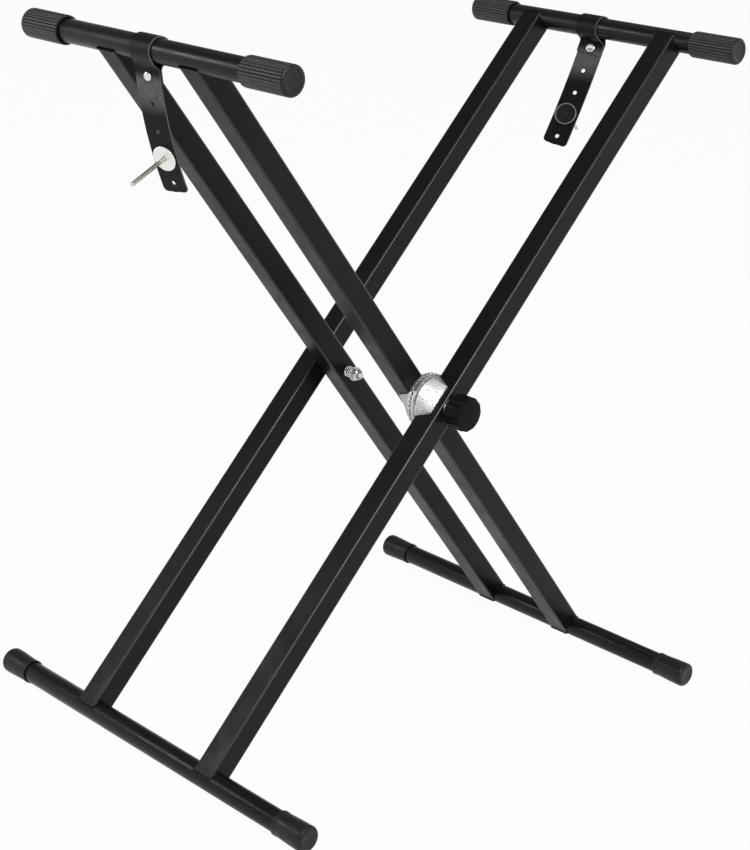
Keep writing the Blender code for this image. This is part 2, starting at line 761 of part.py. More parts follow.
def frame(prefix, leg_y, tilt, foot_x, top_x, finishes, parent):
    """Two legs welded to a foot bar and a top bar, with the four end caps."""
    paint = finishes["paint"]
    top_z = TOP_Z - PIVOT_Z
    foot_z = FOOT_BAR_Z - PIVOT_Z
    bar(prefix + "_top_bar", TOP_SPAN, TOP_CAP_END, paint, parent, (top_x, 0, top_z))
    bar(prefix + "_foot_bar", FOOT_SPAN, FOOT_CAP_END, paint, parent, (foot_x, 0, foot_z))
    for where, sign, turn in (("front", -1, FORWARD), ("rear", 1, REARWARD)):
        leg(f"{prefix}_{where}_leg", sign * leg_y, tilt, paint, parent)
        top_y = sign * (TOP_SPAN / 2 - TOP_CAP_LENGTH)
        foot_y = sign * (FOOT_SPAN / 2 - FOOT_CAP_LENGTH)
        top_cap(f"{prefix}_{where}_top_cap", finishes["cap"], parent, (top_x, top_y, top_z), turn)
        foot_cap(f"{prefix}_{where}_foot_cap", finishes["foot"], parent,
                 (foot_x, foot_y, foot_z), turn)


def front_pivot(finishes, root, carriage, knob_axis):
    """The gear bolt, drawn forward by the knob through the outer front leg."""
    seat = -INNER_BACK + FIT
    knob_back = -OUTER_FACE - 2 * FIT - WASHER_THICKNESS
    bolt_length = seat - knob_back + KNOB_NECK + KNOB_LENGTH - KNOB_BLIND - BOLT_TIP
    domed_bolt("gear_bolt", bolt_length, finishes["steel"], carriage, (0, seat, 0), FORWARD)
    washer("knob_washer", KNOB_WASHER_R, BOLT_HOLE_R, WASHER_THICKNESS, finishes["steel"], root,
           (0, -OUTER_FACE - FIT, 0), FORWARD)
    knob_body("lock_knob", finishes["knob"], knob_axis, (0, knob_back, 0), FORWARD)
    sleeve("knob_insert", INSERT_R, INSERT_LENGTH, finishes["brass"], knob_axis,
           (0, knob_back, 0), FORWARD)


def rear_pivot(finishes, root):
    """The rear bolt with the spring that pushes the inner frame back when the knob is loose."""
    steel = finishes["steel"]
    spring_y = INNER_BACK - FIT
    washer_y = spring_y - SPRING_LENGTH - FIT
    nut_y = washer_y - WASHER_THICKNESS - FIT
    bolt_seat = OUTER_FACE + FIT
    bolt_length = bolt_seat - nut_y + NUT_HEIGHT + BOLT_TIP
    domed_bolt("rear_bolt", bolt_length, steel, root, (0, bolt_seat, 0), FORWARD)
    coil_spring("rear_spring", finishes["spring"], root, (0, spring_y, 0), FORWARD)
    washer("rear_washer", WASHER_R, BOLT_HOLE_R, WASHER_THICKNESS, steel, root,
           (0, washer_y, 0), FORWARD)
    lock_nut("rear_nut", steel, root, (0, nut_y, 0), FORWARD)
    spacer_length = LEG_GAP - RELEASE_TRAVEL - 2 * FIT
    sleeve("rear_spacer", SPACER_R, spacer_length, finishes["knob"], root,
           (0, OUTER_BACK - FIT, 0), FORWARD)


def finishes_used():
    """The stand's materials, by the piece that each belongs to."""
    return {
        "paint": material("black_paint", (0.012, 0.012, 0.013), 0.38),
        "cap": material("ribbed_rubber", (0.016, 0.016, 0.016), 0.62),
        "foot": material("foot_rubber", (0.02, 0.02, 0.02), 0.55),
        "gear": material("cast_metal", (0.72, 0.72, 0.72), 0.42, 1.0),
        "steel": material("zinc_steel", (0.6, 0.6, 0.62), 0.3, 1.0),
        "spring": material("spring_steel", (0.65, 0.65, 0.64), 0.25, 1.0),
        "knob": material("knob_plastic", (0.015, 0.015, 0.015), 0.45),
        "brass": material("insert_brass", (0.7, 0.5, 0.2), 0.35, 1.0),
        "strap": material("strap_leather", (0.02, 0.02, 0.02), 0.5),
        "rivet": material("rivet_nickel", (0.8, 0.8, 0.78), 0.2, 1.0),
        "disc": material("screw_nickel", (0.6, 0.58, 0.5), 0.3, 1.0),
        "washer": material("washer_zinc", (0.85, 0.85, 0.85), 0.35, 0.6),
    }


def build():
    clear_scene()
    finishes = finishes_used()
    root = axis_empty("outer_frame", (0, 0, PIVOT_Z))
    carriage = axis_empty("release_carriage", (0, 0, 0), root)
    inner = axis_empty("inner_frame", (0, 0, 0), carriage)
    knob_axis = axis_empty("knob_axis", (0, 0, 0), root)
    frame("outer", OUTER_LEG_Y, LEG_TILT, -FOOT_X, TOP_X, finishes, root)
    frame("inner", INNER_LEG_Y, -LEG_TILT, FOOT_X, -TOP_X, finishes, inner)
    gear_half("outer_gear_half", -OUTER_BACK + FIT, 1, LEG_TILT, finishes["gear"], root)
    gear_half("inner_gear_half", -INNER_FACE - FIT, -1, -LEG_TILT, finishes["gear"], inner)
    front_pivot(finishes, root, carriage, knob_axis)
    rear_pivot(finishes, root)
    sides = (("left", -1, LEFT_STRAP_Y, inner), ("right", 1, RIGHT_STRAP_Y, root))
    for name, side, along, body in sides:
        bar_axis = axis_empty(name + "_strap_axis", (side * TOP_X, along, TOP_Z - PIVOT_Z), body)
        strap(name + "_strap", side, finishes["strap"], bar_axis)
        rivet(name + "_rivet", side, finishes["rivet"], bar_axis)
        clamp(name + "_clamp", side, finishes["disc"], finishes["washer"], bar_axis)


build()
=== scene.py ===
import json
from math import acos, atan2, copysign, cos, exp, pi, radians, sin, sqrt

import bmesh
import bpy
from mathutils import Matrix, Vector
from mathutils import noise as perlin
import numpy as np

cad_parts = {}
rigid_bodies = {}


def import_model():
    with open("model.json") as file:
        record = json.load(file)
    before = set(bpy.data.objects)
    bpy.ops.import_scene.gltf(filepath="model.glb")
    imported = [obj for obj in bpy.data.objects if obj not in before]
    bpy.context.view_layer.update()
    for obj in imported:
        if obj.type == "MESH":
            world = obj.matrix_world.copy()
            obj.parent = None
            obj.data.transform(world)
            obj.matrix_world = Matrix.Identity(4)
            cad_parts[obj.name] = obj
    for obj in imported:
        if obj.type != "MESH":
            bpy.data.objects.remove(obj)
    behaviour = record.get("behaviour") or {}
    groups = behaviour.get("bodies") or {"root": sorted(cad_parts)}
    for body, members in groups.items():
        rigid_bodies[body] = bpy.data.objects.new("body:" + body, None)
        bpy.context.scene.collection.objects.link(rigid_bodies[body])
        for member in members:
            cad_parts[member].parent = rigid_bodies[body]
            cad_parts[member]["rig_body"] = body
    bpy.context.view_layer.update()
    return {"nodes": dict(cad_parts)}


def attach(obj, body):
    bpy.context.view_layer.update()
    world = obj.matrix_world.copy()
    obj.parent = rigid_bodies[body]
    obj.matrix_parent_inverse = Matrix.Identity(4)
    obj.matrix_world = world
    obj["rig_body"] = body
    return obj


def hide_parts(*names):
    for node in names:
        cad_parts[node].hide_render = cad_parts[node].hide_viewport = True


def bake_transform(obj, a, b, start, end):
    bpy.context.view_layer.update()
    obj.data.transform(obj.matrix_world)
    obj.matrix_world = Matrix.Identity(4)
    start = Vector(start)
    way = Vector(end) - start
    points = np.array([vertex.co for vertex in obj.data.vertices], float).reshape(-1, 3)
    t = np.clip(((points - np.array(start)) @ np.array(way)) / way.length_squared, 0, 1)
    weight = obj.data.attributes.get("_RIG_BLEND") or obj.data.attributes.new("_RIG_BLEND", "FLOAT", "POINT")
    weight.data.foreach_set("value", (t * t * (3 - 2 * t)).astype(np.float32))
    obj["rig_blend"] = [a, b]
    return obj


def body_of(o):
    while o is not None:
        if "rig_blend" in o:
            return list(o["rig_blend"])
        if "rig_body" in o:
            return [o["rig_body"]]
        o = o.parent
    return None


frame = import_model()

# Sizes of the stand, in metres
LEAN = radians(48.8)
FOOT_ARM = 0.496
TOP_ARM = 0.536
TOP_SPAN = 0.414
FOOT_SPAN = 0.536
OUTER_LEG_Y = 0.1055
LEG_GAP = 0.012
FOOT_BAR_Z = 0.0149
TUBE = 0.028
TUBE_WALL = 0.0012
TUBE_CORNER = 0.0022
WELD_R = 0.00085
WELD_LUMP = 0.00025
WELD_RIPPLE = 0.00008
BAR_R = 0.0127
BAR_WALL = 0.0012
FIT = 0.0003
TOP_CAP_R = 0.0157
TOP_CAP_LENGTH = 0.063
TOP_CAP_END = 0.003
TOP_CAP_RIBS = 28
TOP_CAP_LAND = 0.54
TOP_CAP_GROOVE = 0.0007
TOP_CAP_CHAMFER = 0.0014
FOOT_CAP_LENGTH = 0.045
FOOT_CAP_END = 0.004
FOOT_CAP_MOUTH_R = 0.014
FOOT_CAP_FLARE_R = 0.0152
FOOT_CAP_LIP = 0.0004
FOOT_CAP_LIP_LENGTH = 0.0045
FOOT_CAP_STRAIGHT = 0.006
FOOT_CAP_FULL = 0.0125
FOOT_CAP_ROUND = 0.0042
GEAR_R = 0.0325
GEAR_TEETH = 36
GEAR_TOOTH_DEPTH = 0.0014
GEAR_TOOTH_INNER_R = 0.019
GEAR_CHAMFER = 0.0008
CHEEK_ROOT_R = 0.0312
CHEEK_FLAT = radians(38)
CHEEK_DEPTH = 0.0205
CHEEK_EDGE_HALF = 0.0185
CHEEK_EDGE_THICKNESS = 0.0018
CHEEK_ROOT_SINK = 0.002
BOLT_R = 0.004
BOLT_HEAD_R = 0.0095
BOLT_HEAD_HEIGHT = 0.0048
WASHER_R = 0.0088
WASHER_THICKNESS = 0.0016
NUT_FLATS = 0.013
NUT_HEIGHT = 0.0068
NUT_COLLAR = 0.0015
NUT_CHAMFER = 0.0007
NUT_CORNER_SHARE = 1.135
SPRING_R = 0.0066
SPRING_WIRE_R = 0.00085
SPRING_LENGTH = 0.0122
SPRING_TURNS = 5
SPRING_END_EASE = 0.6
SPACER_R = 0.0095
RELEASE_TRAVEL = 0.0027
BOLT_TIP = 0.003
KNOB_R = 0.0205
KNOB_LENGTH = 0.0215
KNOB_NECK_R = 0.0135
KNOB_NECK = 0.0065
KNOB_LOBES = 12
KNOB_SCALLOP = 0.0013
KNOB_ROUND = 0.0028
KNOB_BLIND = 0.005
KNOB_CROWN = 0.0004
KNOB_WASHER_R = 0.0125
INSERT_R = 0.0068
INSERT_LENGTH = 0.013
STRAP_WIDTH = 0.032
STRAP_THICKNESS = 0.002
STRAP_PITCH = 0.0295
STRAP_HOLES = 4
STRAP_CLAMP_HOLE = 3
STRAP_END = 0.0105
STRAP_FLAP = 0.0075
STRAP_PINCH = 0.0265
STRAP_FLAT = 0.0061
LEFT_STRAP_Y = 0.006
LEFT_LEAN_TOP = radians(12)
LEFT_LEAN_END = radians(27)
LEFT_TWIST = radians(12)
RIGHT_STRAP_Y = 0.0135
RIGHT_LEAN_TOP = radians(22)
RIGHT_LEAN_END = radians(28.5)
RIGHT_TWIST = radians(20)
STRAP_CORNER_R = 0.005
STRAP_CORNER_STEPS = 8
STRAP_EASE = 0.00045
STRAP_HOLE_R = 0.0027
RIVET_SHANK_R = 0.0021
RIVET_DOME_R = 0.0047
RIVET_DOME_HEIGHT = 0.002
RIVET_FLANGE_R = 0.0056
RIVET_ROLL = 0.0013
RIVET_EYE_R = 0.0013
RIVET_EYE_DEPTH = 0.0006
SCREW_R = 0.0024
SCREW_REACH = 0.056
DISC_R = 0.014
DISC_THICKNESS = 0.0028
DISC_RIM = 0.0016
DISC_DISH = 0.0006
SCREW_POINT = 0.0008
CLAMP_WASHER_THICKNESS = 0.0014

# Steps round a leg's corners and along its flats
CORNER_STEPS = 7
FLAT_STEPS = 14

# The photograph's camera
CAMERA_AZIMUTH = radians(-45.9267)
CAMERA_ELEVATION = radians(18.2243)
CAMERA_ROLL = radians(4.2888)
CAMERA_TARGET = (0.0018, 0, 0.3336)
CAMERA_DISTANCE = 2.2792
FOCAL_PIXELS = 1907.6756
PICTURE_PIXELS = 850
SENSOR = 36
CAMERA_CLIPS = (0.05, 60)

# The studio: each lamp's name, position, height of its aim, size and power
LAMPS = (
    ("key", (-1.4, -2.6, 2.6), 0.4, 0.7, 95),
    ("rear", (-2.1, 1.85, 1.65), 0.5, 0.6, 17),
    ("top", (0.4, 0.2, 3.2), 0.3, 2.0, 14),
    ("fill", (2.8, -1.6, 1.6), 0.4, 1.4, 14),
)
FLOOR_HALF = 9
FLOOR_DROP = 0.0002
FLOOR_GLOW = 0.955
HORIZON_STRENGTH = 1.0
TOP_STRENGTH = 0.25
HORIZON_BAND = (0.06, 0.34)

# Sizes and places that follow from those
INNER_LEG_Y = OUTER_LEG_Y - TUBE - LEG_GAP
PIVOT_Z = FOOT_BAR_Z + FOOT_ARM * sin(LEAN)
TOP_X = TOP_ARM * cos(LEAN)
TOP_Z = PIVOT_Z + TOP_ARM * sin(LEAN)
FOOT_X = FOOT_ARM * cos(LEAN)
LEG_TILT = pi / 2 - LEAN
OUTER_FACE = OUTER_LEG_Y + TUBE / 2
OUTER_BACK = OUTER_LEG_Y - TUBE / 2
INNER_FACE = INNER_LEG_Y + TUBE / 2
INNER_BACK = INNER_LEG_Y - TUBE / 2
GEAR_THICKNESS = LEG_GAP / 2 - FIT - FIT / 2
BOLT_HOLE_R = BOLT_R + FIT

# Places. Under one of the last two, a piece's own +Z runs along -Y or +Y
PIVOT = Matrix.Translation((0, 0, PIVOT_Z))
FORWARD = Matrix.Rotation(pi / 2, 4, "X")
REARWARD = Matrix.Rotation(pi, 4, "Z") @ FORWARD


def at(x, y, z, turn=None):
    """A place in the stand's frame, with a turn if one is given."""
    place = Matrix.Translation((x, y, z))
    return place @ turn if turn else place


def on_pivot(y):
    """A place on the pivot axis whose own +Z runs along -Y."""
    return at(0, y, PIVOT_Z, FORWARD)


def on_leg(side_y, tilt):
    """A leg's place: its own Z runs up the leg from the pivot axis."""
    return PIVOT @ Matrix.Translation((0, side_y, 0)) @ Matrix.Rotation(tilt, 4, "Y")


def on_gear(side_y, faces, tilt):
    """A gear half's place: its own Z is its axis, towards the other half."""
    return on_leg(side_y, tilt) @ Matrix.Rotation(-faces * pi / 2, 4, "X")


def wobble(x, y=0.0, z=0.0, seed=0.0):
    """A smooth value from -1 to 1 that is the same on each run."""
    return perlin.noise(Vector((x + seed * 17.3, y - seed * 9.1, z + seed * 3.7)))


# Materials
def rgba(colour):
    """A socket's colour from one value, for a grey, or from three."""
    return (*colour, 1) if isinstance(colour, tuple) else (colour, colour, colour, 1)


class Nodes:
    """The nodes of a material or a world, and the few kinds that patterns are made from."""

    def __init__(self, owner):
        owner.use_nodes = True
        self.nodes = owner.node_tree.nodes
        self.links = owner.node_tree.links
        self.coords = self.nodes.new("ShaderNodeTexCoord")

    def add(self, kind, output, inputs, **settings):
        """One output of a new node. Each input is a value, or another node's output."""
        node = self.nodes.new("ShaderNode" + kind)
        for name, value in settings.items():
            setattr(node, name, value)
        for name, value in inputs.items():
            if isinstance(value, bpy.types.NodeSocket):
                self.links.new(value, node.inputs[name])
            else:
                node.inputs[name].default_value = value
        return node.outputs[output]

    def axis(self, name, space="Object"):
        return self.add("SeparateXYZ", name, {"Vector": self.coords.outputs[space]})

    def math(self, operation, *values):
        return self.add("Math", "Value", dict(enumerate(values)), operation=operation)

    def spread(self, value, low, high, out_low=0.0, out_high=1.0):
        """Map a range smoothly onto another."""
        inputs = {"Value": value, "From Min": low, "From Max": high, "To Min": out_low,
                  "To Max": out_high}
        return self.add("MapRange", "Result", inputs, interpolation_type="SMOOTHSTEP")


class Shader(Nodes):
    """A material whose patterns lie in the piece's own coordinates, in metres."""

    def __init__(self, name, colour, roughness, metallic=0.0, ior=1.5):
        self.made = bpy.data.materials.new(name)
        super().__init__(self.made)
        self.shader = self.nodes["Principled BSDF"]
        self.height = None
        for socket, value in (("Base Color", rgba(colour)), ("Roughness", roughness),
                              ("Metallic", metallic), ("IOR", ior)):
            self.shader.inputs[socket].default_value = value

    def use(self, pattern, socket):
        self.links.new(pattern, self.shader.inputs[socket])

    def place(self, stretch=(1, 1, 1)):
        return self.add("Mapping", "Vector",
                        {"Vector": self.coords.outputs["Object"], "Scale": stretch})

    def noise(self, scale, detail=3.0, stretch=(1, 1, 1), rough=0.5):
        return self.add("TexNoise", "Fac", {"Vector": self.place(stretch), "Scale": scale,
                                            "Detail": detail, "Roughness": rough})

    def cells(self, scale, smooth=None):
        """Distance from the nearest of scattered points, with softened borders if smooth."""
        inputs = {"Vector": self.place(), "Scale": scale}
        if smooth is None:
            return self.add("TexVoronoi", "Distance", inputs)
        inputs["Smoothness"] = smooth
        return self.add("TexVoronoi", "Distance", inputs, feature="SMOOTH_F1")

    def radius(self):
        """Distance from the piece's own Z axis."""
        flat = self.add("CombineXYZ", "Vector", {"X": self.axis("X"), "Y": self.axis("Y")})
        return self.add("VectorMath", "Value", {0: flat}, operation="LENGTH")

    def mix(self, factor, low, high):
        """Mix two colours by a pattern. Each is one value, three, or another pattern."""
        sides = [side if isinstance(side, bpy.types.NodeSocket) else rgba(side)
                 for side in (low, high)]
        return self.add("Mix", 2, {"Factor": factor, 6: sides[0], 7: sides[1]},
                        data_type="RGBA")

    def colour(self, pattern):
        self.use(pattern, "Base Color")

    def gloss(self, pattern, at_low, at_high):
        """Vary the roughness with a pattern, between two values."""
        self.use(self.spread(pattern, 0.3, 0.7, at_low, at_high), "Roughness")

    def bump(self, height, depth, strength=1.0):
        """Add relief, its depth in metres, on top of what is there already."""
        inputs = {"Height": height, "Distance": depth, "Strength": strength}
        if self.height is not None:
            inputs["Normal"] = self.height
        self.height = self.add("Bump", "Normal", inputs)
        self.use(self.height, "Normal")


def paint_finish(name="black_paint_finish", ior=1.24, low=0.3, high=0.44, peel=1.0):
    """Semi-gloss black powder coat: fine orange peel, uneven gloss and a little dust."""
    s = Shader(name, (0.005, 0.005, 0.0053), high, ior=ior)
    dust = s.spread(s.noise(900, 2, rough=0.7), 0.68, 0.8)
    cloud = s.noise(9, 4)
    base = s.mix(cloud, (0.003, 0.003, 0.0032), (0.0055, 0.0055, 0.0058))
    s.colour(s.mix(dust, base, (0.02, 0.02, 0.021)))
    s.gloss(s.noise(26, 5, rough=0.6), low, high)
    s.bump(s.noise(650, 2), 0.00006 * peel)
    s.bump(s.noise(120, 2), 0.00008 * peel)
    return s.made


def weld_finish():
    """The same coat over a weld: lumpy, with bare bright specks where it has chipped."""
    s = Shader("weld_finish", 0.005, 0.45, ior=1.2)
    chips = s.spread(s.noise(420, 3, rough=0.6), 0.7, 0.73)
    s.colour(s.mix(chips, 0.004, (0.6, 0.6, 0.59)))
    s.gloss(s.noise(300, 3), 0.4, 0.6)
    s.bump(s.noise(700, 3), 0.0002)
    return s.made


def rib_finish():
    """Matt black ribbed rubber, rubbed a little lighter on the ribs."""
    s = Shader("rib_finish", 0.008, 0.4, ior=1.38)
    crest = s.spread(s.radius(), TOP_CAP_R - 0.00035, TOP_CAP_R)
    worn = s.math("MULTIPLY", crest, s.spread(s.noise(60, 3), 0.3, 0.7, 0.7, 1.0))
    s.colour(s.mix(worn, 0.004, 0.038))
    s.gloss(s.noise(60, 3), 0.38, 0.48)
    s.bump(s.noise(1500, 3), 0.00001)
    return s.made


def foot_finish():
    """Smooth satin rubber, dusty towards the floor."""
    s = Shader("foot_finish", 0.009, 0.4, ior=1.36)
    low = s.spread(s.axis("Y"), -0.004, -FOOT_BAR_Z)
    dusty = s.math("MULTIPLY", low, s.spread(s.noise(260, 5, rough=0.65), 0.35, 0.75))
    s.colour(s.mix(dusty, 0.0075, (0.028, 0.027, 0.026)))
    s.gloss(s.noise(70, 4), 0.36, 0.52)
    s.bump(s.noise(1300, 3), 0.00004)
    s.bump(s.noise(90, 2), 0.0001)
    return s.made


def knob_finish(name="knob_finish"):
    """Satin black moulded plastic with a fine spark texture."""
    s = Shader(name, 0.003, 0.42, ior=1.17)
    s.colour(s.mix(s.noise(60, 4), 0.0015, 0.0035))
    s.gloss(s.noise(240, 4), 0.36, 0.5)
    s.bump(s.noise(2400, 2), 0.00005)
    s.bump(s.cells(900, 0.6), 0.00003)
    return s.made


def cast_finish():
    """Rough die-cast metal: speckled, pitted and unevenly bright."""
    s = Shader("cast_finish", 0.6, 0.5, metallic=1.0)
    grain = s.noise(620, 5, rough=0.75)
    patches = s.noise(190, 4, rough=0.6)
    pits = s.spread(s.cells(620), 0.0, 0.34)
    base = s.mix(s.spread(grain, 0.32, 0.68), (0.13, 0.13, 0.135), 0.86)
    base = s.mix(s.spread(patches, 0.35, 0.65), base, (0.62, 0.62, 0.63))
    s.colour(s.mix(pits, (0.09, 0.09, 0.095), base))
    s.gloss(grain, 0.62, 0.4)
    s.bump(grain, 0.0003)
    s.bump(pits, 0.0002, 0.7)
    return s.made


def facet_finish():
    """The same casting where it is cut flat: bright, with fine drag lines, and painted shade darkening its
    root against the disc.
    """
    s = Shader("facet_finish", 0.85, 0.5, metallic=1.0)
    drag = s.noise(90, 4, stretch=(1, 14, 14), rough=0.6)
    specks = s.spread(s.noise(700, 4, rough=0.7), 0.52, 0.68)
    # Painted shade: the facet's colour darkens along its root, where it meets the disc.
    painted_root_shade = s.spread(s.axis("Z"), -0.0018, -0.0007)
    base = s.mix(drag, (0.5, 0.5, 0.505), 0.72)
    base = s.mix(specks, base, (0.28, 0.28, 0.29))
    s.colour(s.mix(painted_root_shade, base, 0.03))
    s.gloss(drag, 0.58, 0.46)
    s.bump(drag, 0.0001)
    s.bump(specks, 0.0001)
    return s.made


def zinc_finish(name="zinc_finish", tone=0.72, roughness=0.3):
    """Zinc plate with a faint crystalline mottle."""
    s = Shader(name, tone, roughness, metallic=1.0)
    mottle = s.noise(420, 5, rough=0.65)
    s.colour(s.mix(mottle, (tone * 0.78, tone * 0.79, tone * 0.8), (tone, tone, tone * 0.99)))
    s.gloss(mottle, roughness + 0.08, roughness - 0.05)
    s.bump(mottle, 0.00003)
    return s.made


def turned_finish():
    """Bright washer face with the faint rings that turning leaves."""
    s = Shader("turned_finish", 0.88, 0.36, metallic=0.85)
    radius = s.math("ADD", s.radius(), s.math("MULTIPLY", s.noise(160, 3), 0.0004))
    rings = s.math("SINE", s.math("MULTIPLY", radius, 7400))
    ringed = s.spread(rings, -1, 1)
    blotch = s.noise(210, 4, rough=0.6)
    tone = s.mix(ringed, (0.74, 0.74, 0.745), 0.93)
    s.colour(s.mix(s.spread(blotch, 0.62, 0.8), tone, (0.62, 0.62, 0.63)))
    s.gloss(blotch, 0.4, 0.32)
    s.bump(ringed, 0.00004)
    return s.made


def nickel_finish(name, colour, roughness):
    """Nickel plate with hairline scratches."""
    s = Shader(name, colour, roughness, metallic=1.0)
    hair = s.noise(300, 3, stretch=(1, 1, 0.04), rough=0.6)
    dark = tuple(channel * 0.86 for channel in colour)
    s.colour(s.mix(s.spread(hair, 0.3, 0.7), dark, colour))
    s.gloss(hair, roughness + 0.04, roughness - 0.02)
    s.bump(hair, 0.000004)
    return s.made


def brass_finish():
    """Machined brass with turning marks round its own axis."""
    s = Shader("brass_finish", (0.7, 0.5, 0.2), 0.3, metallic=1.0)
    marks = s.spread(s.math("SINE", s.math("MULTIPLY", s.axis("Z"), 9000)), -1, 1)
    s.colour(s.mix(marks, (0.55, 0.38, 0.15), (0.76, 0.56, 0.24)))
    s.gloss(s.noise(400, 3), 0.26, 0.4)
    s.bump(marks, 0.00004)
    return s.made


def disc_finish():
    """Black japanned head of a clamp screw, with a ghost of its centre."""
    s = Shader("disc_finish", 0.006, 0.5, ior=1.25)
    centre = s.spread(s.radius(), 0.0045, 0.002)
    streak = s.noise(300, 4, stretch=(1, 3, 1), rough=0.65)
    base = s.mix(streak, 0.003, 0.011)
    s.colour(s.mix(s.math("MULTIPLY", centre, 0.4), base, 0.022))
    s.gloss(streak, 0.56, 0.4)
    s.bump(streak, 0.00006)
    return s.made


def leather_finish():
    """Black finished leather: a fine pebble, creases, and a lighter patch where the rivet pulls it, partly
    polished wear and partly painted sheen.
    """
    s = Shader("leather_finish", 0.004, 0.42, ior=1.24)
    height = s.axis("Z")
    # Lighter patch between the rivet and the first hole: partly polished wear, partly painted sheen in the
    # base colour.
    above = s.spread(height, -0.07, -0.044)
    below = s.spread(height, -0.022, -0.034)
    polish_and_sheen_zone = s.math("MULTIPLY", above, below)
    cloud = s.noise(75, 5, rough=0.6)
    polish_and_painted_sheen = s.math("MULTIPLY", polish_and_sheen_zone, s.spread(cloud, 0.25, 0.6, 0.62, 1.0))
    base = s.mix(cloud, 0.0016, (0.0045, 0.0044, 0.0043))
    s.colour(s.mix(polish_and_painted_sheen, base, (0.062, 0.0615, 0.061)))
    s.shader.inputs["Coat Roughness"].default_value = 0.4
    s.use(polish_and_painted_sheen, "Coat Weight")
    pebble = s.cells(1500, 0.45)
    creases = s.noise(330, 4, stretch=(1, 1, 2.2), rough=0.6)
    s.gloss(creases, 0.5, 0.36)
    s.bump(pebble, 0.00012, 0.8)
    s.bump(creases, 0.00018)
    return s.made


def cut_finish():
    """The leather's cut edge: dyed, fibrous and dull."""
    s = Shader("cut_finish", (0.03, 0.028, 0.026), 0.85)
    fibre = s.noise(1900, 5, rough=0.75)
    s.colour(s.mix(s.spread(fibre, 0.35, 0.65), (0.03, 0.028, 0.026), (0.11, 0.105, 0.1)))
    s.gloss(fibre, 0.75, 0.95)
    s.bump(fibre, 0.0002)
    return s.made


FINISHES = {
    "paint": paint_finish(),
    "edge": paint_finish("corner_finish", 1.5, 0.36, 0.42, 0.1),
    "bar": paint_finish("bar_paint_finish", 1.3, 0.28, 0.4, 0.6),
    "weld": weld_finish(),
    "cap": rib_finish(),
    "foot": foot_finish(),
    "knob": knob_finish(),
    "nylon": knob_finish("nylon_finish"),
    "cast": cast_finish(),
    "facet": facet_finish(),
    "zinc": zinc_finish(),
    "ring": zinc_finish("ring_finish", 0.24, 0.5),
    "turned": turned_finish(),
    "rivet": nickel_finish("rivet_finish", (0.84, 0.83, 0.81), 0.3),
    "screw": nickel_finish("screw_finish", (0.7, 0.665, 0.58), 0.38),
    "spring": nickel_finish("spring_finish", (0.8, 0.8, 0.79), 0.22),
    "brass": brass_finish(),
    "disc": disc_finish(),
    "leather": leather_finish(),
    "cut": cut_finish(),
}


# Mesh helpers
def even_angles(count, start=0.5):
    return [2 * pi * (i + start) / count for i in range(count)]


def quarter(steps):
    """Sine and cosine at even steps from 0 to 90 degrees."""
    angles = [pi / 2 * step / steps for step in range(steps + 1)]
    return [(sin(angle), cos(angle)) for angle in angles]


def circle(radius, height, angles, outline=None):
    points = []
    for angle in angles:
        reach = outline(radius, angle) if outline else radius
        points.append(Vector((reach * cos(angle), reach * sin(angle), height)))
    return points


def stack(angles, profile):
    """Rings from (radius, height) rows, some with an outline after them."""
    return [circle(*row[:2], angles, *row[2:]) for row in profile]


def eased(profile, steps=4, closed=False):
    """(x, z) points from (x, z, softness) corners, each rounded over its softness."""
    result = []
    last = len(profile) - 1
    for i, (x, z, soft) in enumerate(profile):
        corner = Vector((x, z))
        if soft == 0 or (not closed and i in (0, last)):
            result.append(corner)
            continue
        before = Vector(profile[i - 1][:2]) - corner
        after = Vector(profile[(i + 1) % len(profile)][:2]) - corner
        start = corner + before.normalized() * min(soft, before.length / 2)
        end = corner + after.normalized() * min(soft, after.length / 2)
        for step in range(steps + 1):
            t = step / steps
            result.append(start * (1 - t) ** 2 + corner * 2 * t * (1 - t) + end * t * t)
    return result


def skin(rings, looped=False, slots=None, bm=None):
    """Rings closed into one solid. The slots give each band's material, the caps taking 0."""
    bm = bm or bmesh.new()
    rows = [[bm.verts.new(point) for point in ring] for ring in rings]
    count = len(rings[0])
    pairs = list(zip(rows, rows[1:]))
    if looped:
        pairs.append((rows[-1], rows[0]))
    else:
        bm.faces.new(rows[0])
        bm.faces.new(rows[-1])
    for band, (low, high) in enumerate(pairs):
        for i in range(count):
            j = (i + 1) % count
            face = bm.faces.new((low[i], low[j], high[j], high[i]))
            if slots:
                face.material_index = slots[band]
    return bm


def turned(profile, segments, looped=False, slots=None):
    return skin(stack(even_angles(segments), profile), looped, slots)


def rounded_square(width, corner, steps, along):
    """Outline of a square with round corners and its flats divided."""
    inset = width / 2 - corner
    arcs = []
    for start in (0, pi / 2, pi, 3 * pi / 2):
        centre = Vector((copysign(inset, cos(start + pi / 4)),
                         copysign(inset, sin(start + pi / 4))))
        angles = [start + step * pi / 2 / steps for step in range(steps + 1)]
        arcs.append([centre + corner * Vector((cos(a), sin(a))) for a in angles])
    points = []
    for arc, following in zip(arcs, arcs[1:] + arcs[:1]):
        points += arc
        points += [arc[-1].lerp(following[0], step / along) for step in range(1, along)]
    return points


def cylinder(bm, radius, start, end, segments=32):
    way = Vector(end) - Vector(start)
    turn = way.to_track_quat("Z", "Y").to_matrix()
    rings = stack(even_angles(segments), [(radius, 0), (radius, way.length)])
    return skin([[Vector(start) + turn @ point for point in ring] for ring in rings], bm=bm)


